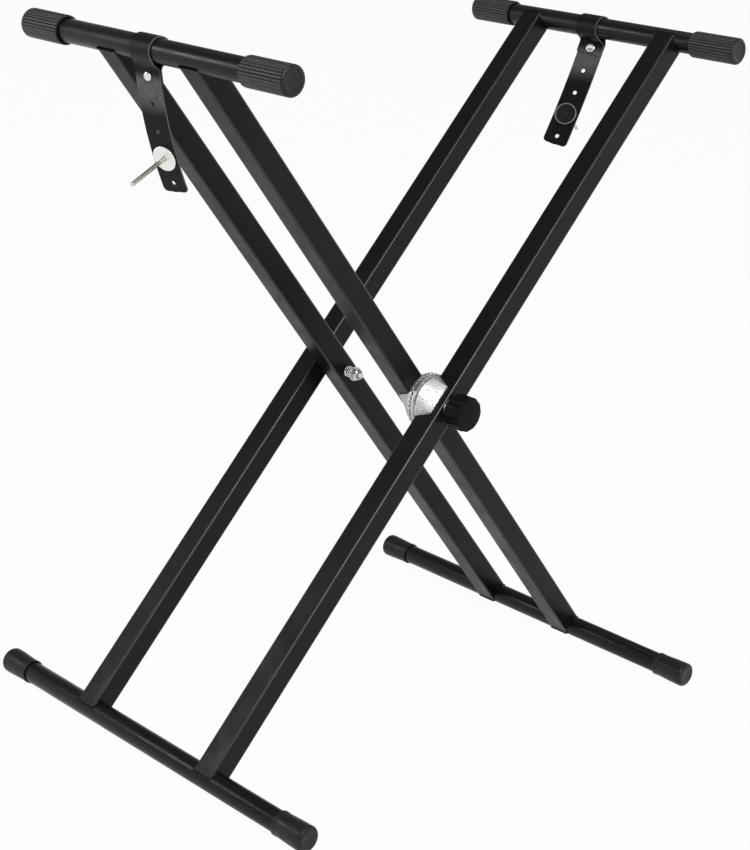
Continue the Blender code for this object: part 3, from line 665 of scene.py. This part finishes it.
def tube_along(points, radii, normals, sides, looped=True):
    """A round bead along points, each with its own radius and a normal to hang it on."""
    rings = []
    count = len(points)
    for i, point in enumerate(points):
        before = points[i - 1] if looped or i else point
        after = points[(i + 1) % count] if looped or i < count - 1 else point
        way = (after - before).normalized()
        out = (normals[i] - way * normals[i].dot(way)).normalized()
        side = way.cross(out)
        rings.append([point + radii[i] * (cos(a) * out + sin(a) * side)
                      for a in even_angles(sides)])
    return skin(rings, looped)


def mesh_from(bm, name):
    mesh = bpy.data.meshes.new(name)
    bm.to_mesh(mesh)
    bm.free()
    return mesh


def add_object(name, data):
    made = bpy.data.objects.new(name, data)
    bpy.context.scene.collection.objects.link(made)
    return made


def piece(node, bm, place, finishes, angle=38, label="shown"):
    """A smooth-shaded piece that stands for one node of the frame and rides on its body."""
    bmesh.ops.recalc_face_normals(bm, faces=bm.faces)
    name = f"{node}_{label}"
    mesh = mesh_from(bm, name)
    for finish in finishes:
        mesh.materials.append(FINISHES[finish])
    mesh.shade_smooth()
    mesh.set_sharp_from_angle(angle=radians(angle))
    made = add_object(name, mesh)
    made.matrix_world = place
    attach(made, body_of(frame["nodes"][node])[0])
    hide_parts(node)
    return made


def cut(target, cutter):
    """Cut a tool's shape out of a piece for good."""
    bmesh.ops.recalc_face_normals(cutter, faces=cutter.faces)
    mesh = mesh_from(cutter, "cutter")
    mesh.materials.append(target.data.materials[-1])
    tool = add_object("cutter", mesh)
    tool.matrix_world = target.matrix_world
    modifier = target.modifiers.new("cut", "BOOLEAN")
    modifier.operation = "DIFFERENCE"
    modifier.solver = "EXACT"
    modifier.material_mode = "TRANSFER"
    modifier.object = tool
    bpy.context.view_layer.update()
    evaluated = target.evaluated_get(bpy.context.evaluated_depsgraph_get())
    shaped = bpy.data.meshes.new_from_object(evaluated)
    target.modifiers.clear()
    old = target.data
    target.data = shaped
    bpy.data.meshes.remove(old)
    bpy.data.objects.remove(tool)
    bpy.data.meshes.remove(mesh)


# Frames
def leg_end(x, end):
    """Where the leg's wall stops against its bar, at this distance across the leg."""
    saddle = sqrt(max((BAR_R + FIT) ** 2 - x * x, 0))
    return end - copysign(saddle, end)


def leg(node, side_y, tilt):
    outer = rounded_square(TUBE, TUBE_CORNER, CORNER_STEPS, FLAT_STEPS)
    inner = rounded_square(TUBE - 2 * TUBE_WALL, TUBE_CORNER - TUBE_WALL, CORNER_STEPS,
                           FLAT_STEPS)
    rings = []
    for outline, ends in ((outer, (-FOOT_ARM, TOP_ARM)), (inner, (TOP_ARM, -FOOT_ARM))):
        for end in ends:
            rings.append([Vector((p.x, p.y, leg_end(p.x, end))) for p in outline])
    bm = skin(rings, True)
    for index, face in enumerate(bm.faces):
        corner = index < len(outer) and index % (CORNER_STEPS + FLAT_STEPS) < CORNER_STEPS
        face.material_index = 0 if corner else 1
    made = piece(node, bm, on_leg(side_y, tilt), ["edge", "paint"])
    reach = TUBE / 2 + 0.004
    cut(made, cylinder(bmesh.new(), BOLT_HOLE_R, (0, -reach, 0), (0, reach, 0)))


def weld(node, side_y, tilt, end, seed):
    """The bead round a leg's end, where it is welded to its bar."""
    outline = rounded_square(TUBE + 0.0004, TUBE_CORNER + 0.0002, 6, 20)
    points = []
    normals = []
    radii = []
    lean_back = copysign(0.0004, end)
    for i, p in enumerate(outline):
        z = leg_end(p.x, end) + lean_back
        lump = wobble(p.x * 420, p.y * 420, z * 300, seed)
        points.append(Vector((p.x, p.y, z)))
        normals.append(Vector((p.x, p.y, 0)).normalized())
        radii.append(WELD_R + WELD_LUMP * lump + WELD_RIPPLE * sin(i * 1.9 + seed))
    piece(node, tube_along(points, radii, normals, 10), on_leg(side_y, tilt), ["weld"], 80,
          "top_weld" if end > 0 else "foot_weld")


def bar(node, span, cap_end, place):
    half = span / 2 - cap_end - FIT
    inner = BAR_R - BAR_WALL
    profile = eased([(BAR_R, -half, 0.0004), (BAR_R, half, 0.0004), (inner, half, 0.0003),
                     (inner, -half, 0.0003)], 3, True)
    piece(node, turned(profile, 96, True), place, ["bar"])


def ribbed(radius, angle):
    """The sleeve's outline: rounded ribs with a groove between each two."""
    pitch = 2 * pi / TOP_CAP_RIBS
    half_land = TOP_CAP_LAND / 2
    share = abs((angle - pi / 2 + pitch / 2) % pitch / pitch - 0.5)
    depth = min(max((share - half_land + 0.05) / (0.55 - half_land), 0), 1)
    crown = 0.00005 * min(share / half_land, 1) ** 2
    return radius - crown - TOP_CAP_GROOVE * depth ** 1.5


def top_cap(node, place):
    angles = even_angles(TOP_CAP_RIBS * 10, 0)
    end = TOP_CAP_LENGTH
    chamfer = TOP_CAP_CHAMFER
    face = TOP_CAP_R - TOP_CAP_GROOVE - chamfer
    bore = BAR_R + FIT
    rings = stack(angles, [
        (0.001, end - 0.0005),
        (face * 0.62, end - 0.0005),
        (face * 0.7, end - 0.00035),
        (face * 0.76, end),
        (face, end),
        (face + 0.0003, end - 0.00012),
        (TOP_CAP_R - 0.0004, end - chamfer * 0.8, ribbed),
        (TOP_CAP_R - 0.0001, end - chamfer * 1.15, ribbed),
        (TOP_CAP_R, end - chamfer * 1.8, ribbed),
        (TOP_CAP_R, 0.0014, ribbed),
        (TOP_CAP_R - 0.00015, 0.0006, ribbed),
        (TOP_CAP_R - 0.0006, 0.0001, ribbed),
        (bore + 0.0006, 0),
        (bore + 0.0001, 0.0003),
        (bore, 0.0008),
        (bore, end - TOP_CAP_END),
    ])
    piece(node, skin(rings), place, ["cap"], 50)


def foot_cap(node, place):
    angles = even_angles(112)
    end = FOOT_CAP_LENGTH
    mouth = FOOT_CAP_MOUTH_R
    flare = FOOT_CAP_FLARE_R
    soft = FOOT_CAP_ROUND
    full = end - FOOT_CAP_FULL
    lip = mouth + FOOT_CAP_LIP
    bore = BAR_R + FIT
    profile = [(0.001, end - 0.0006), (flare * 0.45, end - 0.0005),
               (flare - soft - 0.0016, end)]
    profile += [(flare - soft + soft * s, end - soft + soft * c) for s, c in quarter(8)]
    for step in range(1, 7):
        share = step / 6
        profile.append((flare + (mouth - flare) * share,
                        full + (FOOT_CAP_STRAIGHT - full) * share))
    profile += eased([(mouth, FOOT_CAP_STRAIGHT - 0.001, 0),
                      (mouth, FOOT_CAP_LIP_LENGTH + 0.0002, 0.0006),
                      (lip, FOOT_CAP_LIP_LENGTH - FOOT_CAP_LIP, 0.0005),
                      (lip, 0, 0.0005), (bore, 0, 0.0003), (bore, 0.001, 0)], 4)
    profile.append((bore, end - FOOT_CAP_END))
    rings = stack(angles, profile)
    for ring in rings:
        if ring[0].xy.length < bore + 0.0004:
            continue
        for point in ring:
            sink = point.y + FOOT_BAR_Z
            if sink < 0.0003:
                point.y = -FOOT_BAR_Z + max(sink + 0.0003, 0) ** 2 / 0.0012
    piece(node, skin(rings), place, ["foot"], 50)


# Pivot
def gear_disc(node, side_y, faces, tilt):
    angles = even_angles(GEAR_TEETH * 10, 0)
    crest = GEAR_THICKNESS
    valley = GEAR_THICKNESS - GEAR_TOOTH_DEPTH

    def toothed(radius, drop=0.0):
        ring = circle(radius, 0, angles)
        for angle, point in zip(angles, ring):
            share = abs((angle / (2 * pi) * GEAR_TEETH + 0.25) % 1 * 2 - 1)
            step = min(max((share - 0.18) / 0.64, 0), 1)
            point.z = valley + (crest - valley) * step - drop
        return ring

    def rough(radius, height):
        ring = circle(radius, height, angles)
        for point in ring:
            point.xy = point.xy * (1 - 0.00022 / GEAR_R * abs(wobble(point.x * 260, point.y * 260,
                                                                   height * 260, faces)))
        return ring

    hub = GEAR_TOOTH_INNER_R
    rings = [
        rough(GEAR_R - GEAR_CHAMFER * 1.2, 0),
        rough(GEAR_R - GEAR_CHAMFER * 0.4, GEAR_CHAMFER * 0.25),
        rough(GEAR_R, GEAR_CHAMFER * 1.1),
        rough(GEAR_R, valley * 0.5),
        rough(GEAR_R, valley - 0.0002),
        toothed(GEAR_R - 0.0001, 0.00022),
        toothed(GEAR_R - 0.0004),
        toothed(hub),
        circle(hub - 0.0004, valley, angles),
        circle(BOLT_HOLE_R + 0.0003, valley, angles),
        circle(BOLT_HOLE_R, valley - 0.0003, angles),
        circle(BOLT_HOLE_R, 0, angles),
    ]
    piece(node, skin(rings, True), on_gear(side_y, faces, tilt), ["cast"], 32, "disc")


def cheek(node, side_y, faces, tilt, side):
    """One wedge of a gear half. Its broad slope is bright and the rest is as cast."""
    wall = TUBE / 2 + FIT
    widest = acos(wall / CHEEK_ROOT_R)
    steps = 40
    root = []
    edge = []
    for step in range(steps + 1):
        angle = widest * (2 * step / steps - 1)
        root.append((CHEEK_ROOT_R * cos(angle), CHEEK_ROOT_R * sin(angle)))
        share = min(max(angle / CHEEK_FLAT, -1), 1)
        beyond = max(abs(angle) - CHEEK_FLAT, 0) / (widest - CHEEK_FLAT)
        edge.append((wall + CHEEK_EDGE_THICKNESS * (1 - beyond), CHEEK_EDGE_HALF * share))
    rings = []
    levels = 10
    for level in range(-1, levels + 1):
        share = max(level, 0) / levels
        height = CHEEK_ROOT_SINK if level < 0 else -FIT - (CHEEK_DEPTH - FIT) * share
        ring = []
        for (out, along), (edge_out, edge_along) in zip(root, edge):
            reach = out + (edge_out - out) * share
            ring.append(Vector((side * reach, along + (edge_along - along) * share, height)))
        rings.append(ring)
    bm = skin(rings)
    bm.faces.ensure_lookup_table()
    for index, face in enumerate(bm.faces[2:]):
        band, column = divmod(index, steps + 1)
        angle = widest * (2 * (column + 0.5) / steps - 1)
        face.material_index = 1 if band > 0 and abs(angle) < CHEEK_FLAT else 0
    piece(node, bm, on_gear(side_y, faces, tilt), ["cast", "facet"], 24,
          "left_cheek" if side < 0 else "right_cheek")


def bolt(node, length, place):
    """A round-headed bolt: shank along its own +Z from its seat at z 0, head behind it."""
    profile = [(0.0004 + (BOLT_HEAD_R - 0.0004) * s ** 0.92,
                -0.0006 - (BOLT_HEAD_HEIGHT - 0.0006) * c) for s, c in quarter(14)]
    profile += eased([(BOLT_HEAD_R, -0.0005, 0), (BOLT_HEAD_R, 0, 0.0003), (BOLT_R, 0, 0.0002),
                      (BOLT_R, length, 0.0009), (0.0008, length, 0)], 3)
    piece(node, turned(profile, 56), place, ["zinc"])


def washer(node, radius, hole, thickness, place, finish):
    soft = thickness * 0.28
    profile = eased([(hole, 0, soft * 0.5), (radius, 0, soft), (radius, thickness, soft),
                     (hole, thickness, soft * 0.5)], 4, True)
    piece(node, turned(profile, 80, True), place, [finish])


def lock_nut(node, place):
    angles = even_angles(96)
    sixth = pi / 3
    flats = NUT_FLATS / 2

    def hexagon(radius, angle):
        return min(radius / cos((angle % sixth) - sixth / 2), radius * NUT_CORNER_SHARE)

    top = NUT_HEIGHT - NUT_COLLAR
    rings = stack(angles, [
        (BOLT_HOLE_R, 0),
        (flats * 0.98, 0),
        (flats, NUT_CHAMFER, hexagon),
        (flats, top - NUT_CHAMFER, hexagon),
        (flats * 0.96, top - 0.0001),
        (flats * 0.92, top + 0.0002),
        (flats * 0.92, NUT_HEIGHT - 0.0005),
        (flats * 0.84, NUT_HEIGHT),
        (flats * 0.76, NUT_HEIGHT - 0.0003),
        (BOLT_HOLE_R, NUT_HEIGHT - 0.0004),
    ])
    slots = [0] * 8 + [1, 0]
    piece(node, skin(rings, True, slots), place, ["zinc", "nylon"], 25)


def spring(node, place):
    per_turn = 28
    steps = SPRING_TURNS * per_turn
    rise = SPRING_LENGTH - 2 * SPRING_WIRE_R
    middle_r = SPRING_R - SPRING_WIRE_R
    points = []
    normals = []
    for step in range(steps + 1):
        share = step / steps
        share_up = share - sin(2 * pi * share) / (2 * pi) * SPRING_END_EASE
        angle = 2 * pi * SPRING_TURNS * share
        outward = Vector((cos(angle), sin(angle), 0))
        points.append(outward * middle_r + Vector((0, 0, SPRING_WIRE_R + rise * share_up)))
        normals.append(outward)
    bm = tube_along(points, [SPRING_WIRE_R * 0.98] * len(points), normals, 12, False)
    return piece(node, bm, place, ["spring"])


def knob(node, place):
    angles = even_angles(KNOB_LOBES * 14)

    def scalloped(radius, angle):
        wave = 0.5 - 0.5 * cos(KNOB_LOBES * angle)
        return radius - KNOB_SCALLOP * wave * wave

    end = KNOB_NECK + KNOB_LENGTH
    soft = KNOB_ROUND
    profile = [(0.001, end), (KNOB_R * 0.55, end - 0.0001),
               (KNOB_R - soft * 1.2, end - KNOB_CROWN)]
    for step, (s, c) in enumerate(quarter(7)[1:]):
        profile.append((KNOB_R - soft * (1 - s),
                        end - KNOB_CROWN - (soft - KNOB_CROWN) * (1 - c),
                        scalloped if step > 1 else None))
    profile += [(KNOB_R - soft * 0.7 * (1 - c), KNOB_NECK + soft * 0.8 - soft * 0.75 * s,
                 scalloped) for s, c in quarter(5)]
    neck = KNOB_NECK_R
    pocket = INSERT_LENGTH + FIT
    profile += [
        (neck + 0.0014, KNOB_NECK),
        (neck + 0.0005, KNOB_NECK - 0.0003),
        (neck, KNOB_NECK - 0.0011),
        (neck, 0.0006),
        (neck - 0.0002, 0.0002),
        (neck - 0.0006, 0),
        (INSERT_R + FIT, 0),
        (INSERT_R + FIT, pocket),
        (BOLT_HOLE_R, pocket),
        (BOLT_HOLE_R, end - KNOB_BLIND),
    ]
    piece(node, skin(stack(angles, profile)), place, ["knob"], 42)


def sleeve(node, radius, length, place, finish):
    profile = eased([(BOLT_HOLE_R, 0, 0.0003), (radius, 0, 0.0005), (radius, length, 0.0005),
                     (BOLT_HOLE_R, length, 0.0003)], 3, True)
    piece(node, turned(profile, 64, True), place, [finish])


# Straps
class StrapPath:
    """The strap's route in the plane across its bar: x outward, z up, from the bar's axis.

    It is drawn as for the right side. Side is 1 right, -1 left.
    """

    def __init__(self, side):
        self.side = side
        self.lean_top = RIGHT_LEAN_TOP if side > 0 else LEFT_LEAN_TOP
        self.lean_end = RIGHT_LEAN_END if side > 0 else LEFT_LEAN_END
        self.twist = -RIGHT_TWIST if side > 0 else LEFT_TWIST
        self.pinch = Vector((0, 0, -STRAP_PINCH))
        self.loop_r = BAR_R + FIT + STRAP_THICKNESS / 2
        self.half_pinch = (STRAP_THICKNESS + FIT) / 2
        self.tail_length = STRAP_PITCH * STRAP_HOLES + STRAP_END

    def down(self, distance):
        """The way down the tail, this far below the rivet."""
        share = max(distance, 0) / self.tail_length
        lean = self.lean_top + (self.lean_end - self.lean_top) * share
        return Vector((-sin(lean), 0, -cos(lean)))

    def outward(self, distance):
        down = self.down(distance)
        return Vector((-down.z, 0, down.x))

    def pinch_point(self, layer):
        return self.pinch + self.outward(0) * self.half_pinch * layer

    def flat_start(self, layer):
        return self.pinch_point(layer) - self.down(0) * STRAP_FLAT

    def leaves_bar(self, layer):
        aim_point = self.flat_start(layer)
        swing = acos(self.loop_r / aim_point.length)
        return atan2(aim_point.z, aim_point.x) + layer * swing

    def around(self, angle):
        return Vector((cos(angle), 0, sin(angle))) * self.loop_r

    def tail_point(self, distance):
        point = self.pinch_point(1)
        steps = 24
        for step in range(steps):
            point = point + self.down(distance * (step + 0.5) / steps) * distance / steps
        return point

    def curve(self, start, start_way, end, end_way, count):
        """Points on the way from a start to an end, the end's among them."""
        length = (end - start).length
        a = start + start_way * length * 0.4
        b = end - end_way * length * 0.2
        shares = [i / count for i in range(1, count)]
        return [start * (1 - t) ** 3 + a * 3 * t * (1 - t) ** 2 + b * 3 * t * t * (1 - t)
                + end * t ** 3 for t in shares] + [end]

    def stations(self):
        """Each station's middle, its share of the twist, and the way its width turns towards."""
        marks = [self.tail_length - STRAP_CORNER_R * (1 - c)
                 for _, c in quarter(STRAP_CORNER_STEPS)]
        bends = 44
        rest = self.tail_length - STRAP_CORNER_R
        marks += [rest * bend / bends for bend in range(bends - 1, 0, -1)]
        result = [(self.tail_point(mark), 1.0, self.outward(mark)) for mark in marks]
        out = self.outward(0)
        for layer in (1, -1):
            pinch = self.pinch_point(layer)
            flat_start = self.flat_start(layer)
            bar_point = self.around(self.leaves_bar(layer))
            bar_way = (flat_start - bar_point).normalized()
            joined = self.curve(bar_point, bar_way, flat_start, self.down(0), 12)
            turning = [(point, self.twist_share(point), out) for point in joined]
            if layer == 1:
                result.append((pinch, 1.0, out))
                result += list(reversed(turning))
                result += [(point, 0.0, out) for point in self.over_bar()]
            else:
                result += turning
                for share in (0, 0.4, 0.75, 0.94, 1):
                    result.append((pinch + self.down(0) * STRAP_FLAP * share, 1.0, out))
        return result

    def twist_share(self, point):
        whole = STRAP_PINCH + self.down(0).z * STRAP_FLAT - self.half_pinch
        share = min(max(-point.z - self.loop_r, 0) / (whole - self.loop_r), 1)
        return share * share * (3 - 2 * share)

    def over_bar(self):
        steps = 64
        first = self.leaves_bar(1)
        last = self.leaves_bar(-1) + 2 * pi
        return [self.around(first + (last - first) * step / steps) for step in range(steps + 1)]

    def end_width(self, distance_from_end):
        short = max(STRAP_CORNER_R - distance_from_end, 0)
        return STRAP_WIDTH / 2 - STRAP_CORNER_R + sqrt(STRAP_CORNER_R ** 2 - short ** 2)

    def face_way(self, distance):
        """The tail's outer face normal, this far below the rivet, on the strap's own side."""
        way = self.outward(distance) * cos(self.twist)
        return self.placed(way - Vector((0, 1, 0)) * sin(self.twist))

    def placed(self, vector):
        """The same vector on the strap's own side of the stand."""
        return Vector((self.side * vector.x, vector.y, vector.z))


def strap(name, side, place):
    """The leather strip: rounded edges, a slightly uneven outline, a nub left by the die."""
    path = StrapPath(side)
    stations = path.stations()
    middles = [station[0] for station in stations]
    count = 14
    thick = STRAP_THICKNESS / 2
    columns = [sin(pi / 2 * (2 * i / count - 1)) for i in range(count + 1)]
    rings = []
    for i, (middle, share, out) in enumerate(stations):
        before = middles[max(i - 1, 0)]
        after = middles[min(i + 1, len(middles) - 1)]
        way = (after - before).normalized()
        angle = share * path.twist
        across = Vector((0, 1, 0)) * cos(angle) + out * sin(angle)
        normal = across.cross(way).normalized()
        half = path.end_width((middle - middles[0]).length if i else 0)
        inset = STRAP_EASE * (0.8 if i <= STRAP_CORNER_STEPS else 1)
        flap_end = i > len(stations) - 3
        ring = []
        for face in (1, -1):
            for column in columns if face == 1 else reversed(columns):
                a = column * (half - inset)
                uneven = 0.00012 * wobble(i * 0.35, column * 0.2, face, side + 3)
                point = middle + across * (a + uneven) + normal * thick * face
                if i < 4:
                    nub = exp(-((a - 0.001) / 0.0016) ** 2) * (1 - i / 4)
                    point += way * -0.0009 * nub
                if flap_end:
                    point += way * 0.00035 * wobble(a * 900, face, side, 5)
                ring.append(point)
            edge = half + 0.00016 * wobble(i * 0.6, face, 0, side + 1)
            for lift in (0.55, -0.55):
                ring.append(middle + across * edge * face + normal * thick * lift * face)
        rings.append([path.placed(point) for point in ring])
    bm = skin(rings)
    width = 2 * (count + 1) + 4
    edge_columns = {count, count + 1, count + 2, width - 3, width - 2, width - 1}
    for index, face in enumerate(bm.faces):
        cut_edge = index < 2 or (index - 2) % width in edge_columns
        face.material_index = 1 if cut_edge else 0
    made = piece(name, bm, place, ["leather", "cut"], 40)
    holes = bmesh.new()
    for hole in range(STRAP_HOLES + 1):
        distance = hole * STRAP_PITCH
        reach = path.face_way(distance) * STRAP_THICKNESS * 1.7
        centre = path.placed(path.tail_point(distance) if hole else path.pinch)
        cylinder(holes, STRAP_HOLE_R if hole else RIVET_SHANK_R + FIT, centre - reach,
                 centre + reach)
    cut(made, holes)


def aimed(position, way):
    """A place whose own +Z points along a direction."""
    return Matrix.Translation(position) @ way.to_track_quat("Z", "Y").to_matrix().to_4x4()


def rivet(name, side, place):
    path = StrapPath(side)
    face = path.half_pinch + STRAP_THICKNESS / 2 + FIT
    profile = [(0.0004, -face + RIVET_EYE_DEPTH + 0.0002),
               (RIVET_EYE_R, -face + RIVET_EYE_DEPTH)]
    middle = (RIVET_EYE_R + RIVET_FLANGE_R) / 2
    half = (RIVET_FLANGE_R - RIVET_EYE_R) / 2
    for step in range(13):
        angle = pi * step / 12
        profile.append((middle - half * cos(angle), -face - RIVET_ROLL * sin(angle) ** 0.8))
    profile += [(RIVET_SHANK_R, -face), (RIVET_SHANK_R, face), (RIVET_DOME_R, face)]
    profile += [(0.0003 + (RIVET_DOME_R - 0.0003) * c,
                 face + 0.0003 + (RIVET_DOME_HEIGHT - 0.0003) * s) for s, c in quarter(12)]
    piece(name, turned(profile, 48),
          place @ aimed(path.placed(path.pinch), path.face_way(0)), ["rivet"], 50)


def clamp(name, side, place):
    """The clamp screw and its washer in the strap's third hole, square to the strap."""
    path = StrapPath(side)
    distance = STRAP_PITCH * STRAP_CLAMP_HOLE
    axis = place @ aimed(path.placed(path.tail_point(distance)), path.face_way(distance))
    face = STRAP_THICKNESS / 2 + FIT
    back = face + DISC_THICKNESS
    rim = DISC_R - DISC_RIM
    tip = face + SCREW_REACH
    corners = [(0.0006, -back + DISC_DISH, 0), (rim, -back + DISC_DISH, 0.0002),
               (rim, -back, 0.0004), (DISC_R, -back, 0.0006), (DISC_R, -face, 0.0004),
               (SCREW_R, -face, 0), (SCREW_R, tip, SCREW_POINT), (0.0003, tip, 0)]
    profile = eased(corners, 4)
    slots = []
    for a, b in zip(profile, profile[1:]):
        x, z = (a + b) / 2
        on_rim = x > rim - 0.0001 and z < -back + 0.0009
        slots.append(2 if on_rim else 0 if z < -face + 0.0001 else 1)
    screw = turned(profile, 80, slots=slots)
    screw.faces.ensure_lookup_table()
    screw.faces[1].material_index = 1
    piece(name + "_screw", screw, axis, ["disc", "screw", "ring"])
    washer(name + "_washer", DISC_R, SCREW_R + FIT, CLAMP_WASHER_THICKNESS,
           axis @ Matrix.Translation((0, 0, face)), "turned")


# The stand
def build_frame(prefix, leg_y, tilt, foot_x, top_x):
    bar(prefix + "_top_bar", TOP_SPAN, TOP_CAP_END, at(top_x, 0, TOP_Z, FORWARD))
    bar(prefix + "_foot_bar", FOOT_SPAN, FOOT_CAP_END, at(foot_x, 0, FOOT_BAR_Z, FORWARD))
    for where, sign, turn in (("front", -1, FORWARD), ("rear", 1, REARWARD)):
        node = f"{prefix}_{where}_leg"
        leg(node, sign * leg_y, tilt)
        seed = sign + 3 * copysign(1, tilt)
        weld(node, sign * leg_y, tilt, TOP_ARM, seed)
        weld(node, sign * leg_y, tilt, -FOOT_ARM, seed + 0.5)
        top_y = sign * (TOP_SPAN / 2 - TOP_CAP_LENGTH)
        foot_y = sign * (FOOT_SPAN / 2 - FOOT_CAP_LENGTH)
        top_cap(f"{prefix}_{where}_top_cap", at(top_x, top_y, TOP_Z, turn))
        foot_cap(f"{prefix}_{where}_foot_cap", at(foot_x, foot_y, FOOT_BAR_Z, turn))


def build_pivots():
    gears = (("outer_gear_half", -OUTER_BACK + FIT, 1, LEG_TILT),
             ("inner_gear_half", -INNER_FACE - FIT, -1, -LEG_TILT))
    for node, side_y, faces, tilt in gears:
        gear_disc(node, side_y, faces, tilt)
        for side in (-1, 1):
            cheek(node, side_y, faces, tilt, side)
    seat = -INNER_BACK + FIT
    knob_back = -OUTER_FACE - 2 * FIT - WASHER_THICKNESS
    bolt_length = seat - knob_back + KNOB_NECK + KNOB_LENGTH - KNOB_BLIND - BOLT_TIP
    bolt("gear_bolt", bolt_length, on_pivot(seat))
    washer("knob_washer", KNOB_WASHER_R, BOLT_HOLE_R, WASHER_THICKNESS,
           on_pivot(-OUTER_FACE - FIT), "zinc")
    knob("lock_knob", on_pivot(knob_back))
    sleeve("knob_insert", INSERT_R, INSERT_LENGTH, on_pivot(knob_back), "brass")
    spring_y = INNER_BACK - FIT
    washer_y = spring_y - SPRING_LENGTH - FIT
    nut_y = washer_y - WASHER_THICKNESS - FIT
    bolt_seat = OUTER_FACE + FIT
    bolt("rear_bolt", bolt_seat - nut_y + NUT_HEIGHT + BOLT_TIP, on_pivot(bolt_seat))
    coil = spring("rear_spring", on_pivot(spring_y))
    coil.parent = None
    coil.matrix_world = on_pivot(spring_y)
    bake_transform(coil, "outer_frame", "release_carriage", start=(0, spring_y - SPRING_LENGTH, PIVOT_Z),
             end=(0, spring_y, PIVOT_Z))
    washer("rear_washer", WASHER_R, BOLT_HOLE_R, WASHER_THICKNESS, on_pivot(washer_y), "zinc")
    lock_nut("rear_nut", on_pivot(nut_y))
    sleeve("rear_spacer", SPACER_R, LEG_GAP - RELEASE_TRAVEL - 2 * FIT,
           on_pivot(OUTER_BACK - FIT), "nylon")


def build_straps():
    for name, side, along in (("left", -1, LEFT_STRAP_Y), ("right", 1, RIGHT_STRAP_Y)):
        place = at(side * TOP_X, along, TOP_Z)
        strap(name + "_strap", side, place)
        rivet(name + "_rivet", side, place)
        clamp(name + "_clamp", side, place)


# Studio
def floor():
    """A pale floor that the camera sees as white, with the stand's shadow left on it."""
    bm = bmesh.new()
    bmesh.ops.create_grid(bm, x_segments=1, y_segments=1, size=FLOOR_HALF)
    made = add_object("floor", mesh_from(bm, "floor"))
    made.location = (0, 0, -FLOOR_DROP)
    s = Shader("floor_finish", 0.8, 0.9)
    s.shader.inputs["Specular IOR Level"].default_value = 0.1
    seen = s.add("LightPath", "Is Camera Ray", {})
    for ray in ("Is Glossy Ray", "Is Transmission Ray"):
        seen = s.math("MAXIMUM", seen, s.add("LightPath", ray, {}))
    glow = s.add("Emission", "Emission", {"Color": rgba(1.0), "Strength": 1.0})
    mixed = s.add("MixShader", "Shader", {"Fac": s.math("MULTIPLY", seen, FLOOR_GLOW),
                                          1: s.shader.outputs["BSDF"], 2: glow})
    s.links.new(mixed, s.nodes["Material Output"].inputs["Surface"])
    made.data.materials.append(s.made)


def world():
    """White round the horizon, which the camera and reflections see, under a dim top."""
    made = bpy.data.worlds.new("studio")
    bpy.context.scene.world = made
    tree = Nodes(made)
    background = tree.nodes["Background"]
    background.inputs["Color"].default_value = rgba(1.0)
    fade = tree.spread(tree.axis("Z", "Generated"), *HORIZON_BAND, HORIZON_STRENGTH,
                       TOP_STRENGTH)
    tree.links.new(fade, background.inputs["Strength"])


def lamp(name, position, aim_height, size, power):
    light = bpy.data.lights.new(name, "AREA")
    light.shape = "RECTANGLE"
    light.size = light.size_y = size
    light.energy = power
    made = add_object(name, light)
    made.location = position
    way = Vector((0, 0, aim_height)) - Vector(position)
    made.rotation_euler = way.to_track_quat("-Z", "Y").to_euler()


def camera():
    level = cos(CAMERA_ELEVATION)
    back = Vector((sin(CAMERA_AZIMUTH) * level, -cos(CAMERA_AZIMUTH) * level,
                   sin(CAMERA_ELEVATION)))
    right = Vector((cos(CAMERA_AZIMUTH), sin(CAMERA_AZIMUTH), 0))
    up = back.cross(right)
    across = right * cos(CAMERA_ROLL) + up * sin(CAMERA_ROLL)
    upward = up * cos(CAMERA_ROLL) - right * sin(CAMERA_ROLL)
    data = bpy.data.cameras.new("camera")
    data.sensor_width = SENSOR
    data.lens = FOCAL_PIXELS / PICTURE_PIXELS * SENSOR
    data.clip_start, data.clip_end = CAMERA_CLIPS
    made = add_object("camera", data)
    place = Matrix((across, upward, back)).transposed().to_4x4()
    place.translation = Vector(CAMERA_TARGET) + back * CAMERA_DISTANCE
    made.matrix_world = place
    bpy.context.scene.camera = made


def main():
    build_frame("outer", OUTER_LEG_Y, LEG_TILT, -FOOT_X, TOP_X)
    build_frame("inner", INNER_LEG_Y, -LEG_TILT, FOOT_X, -TOP_X)
    build_pivots()
    build_straps()
    floor()
    world()
    for row in LAMPS:
        lamp(*row)
    camera()
    bpy.context.scene.view_settings.view_transform = "Standard"


main()
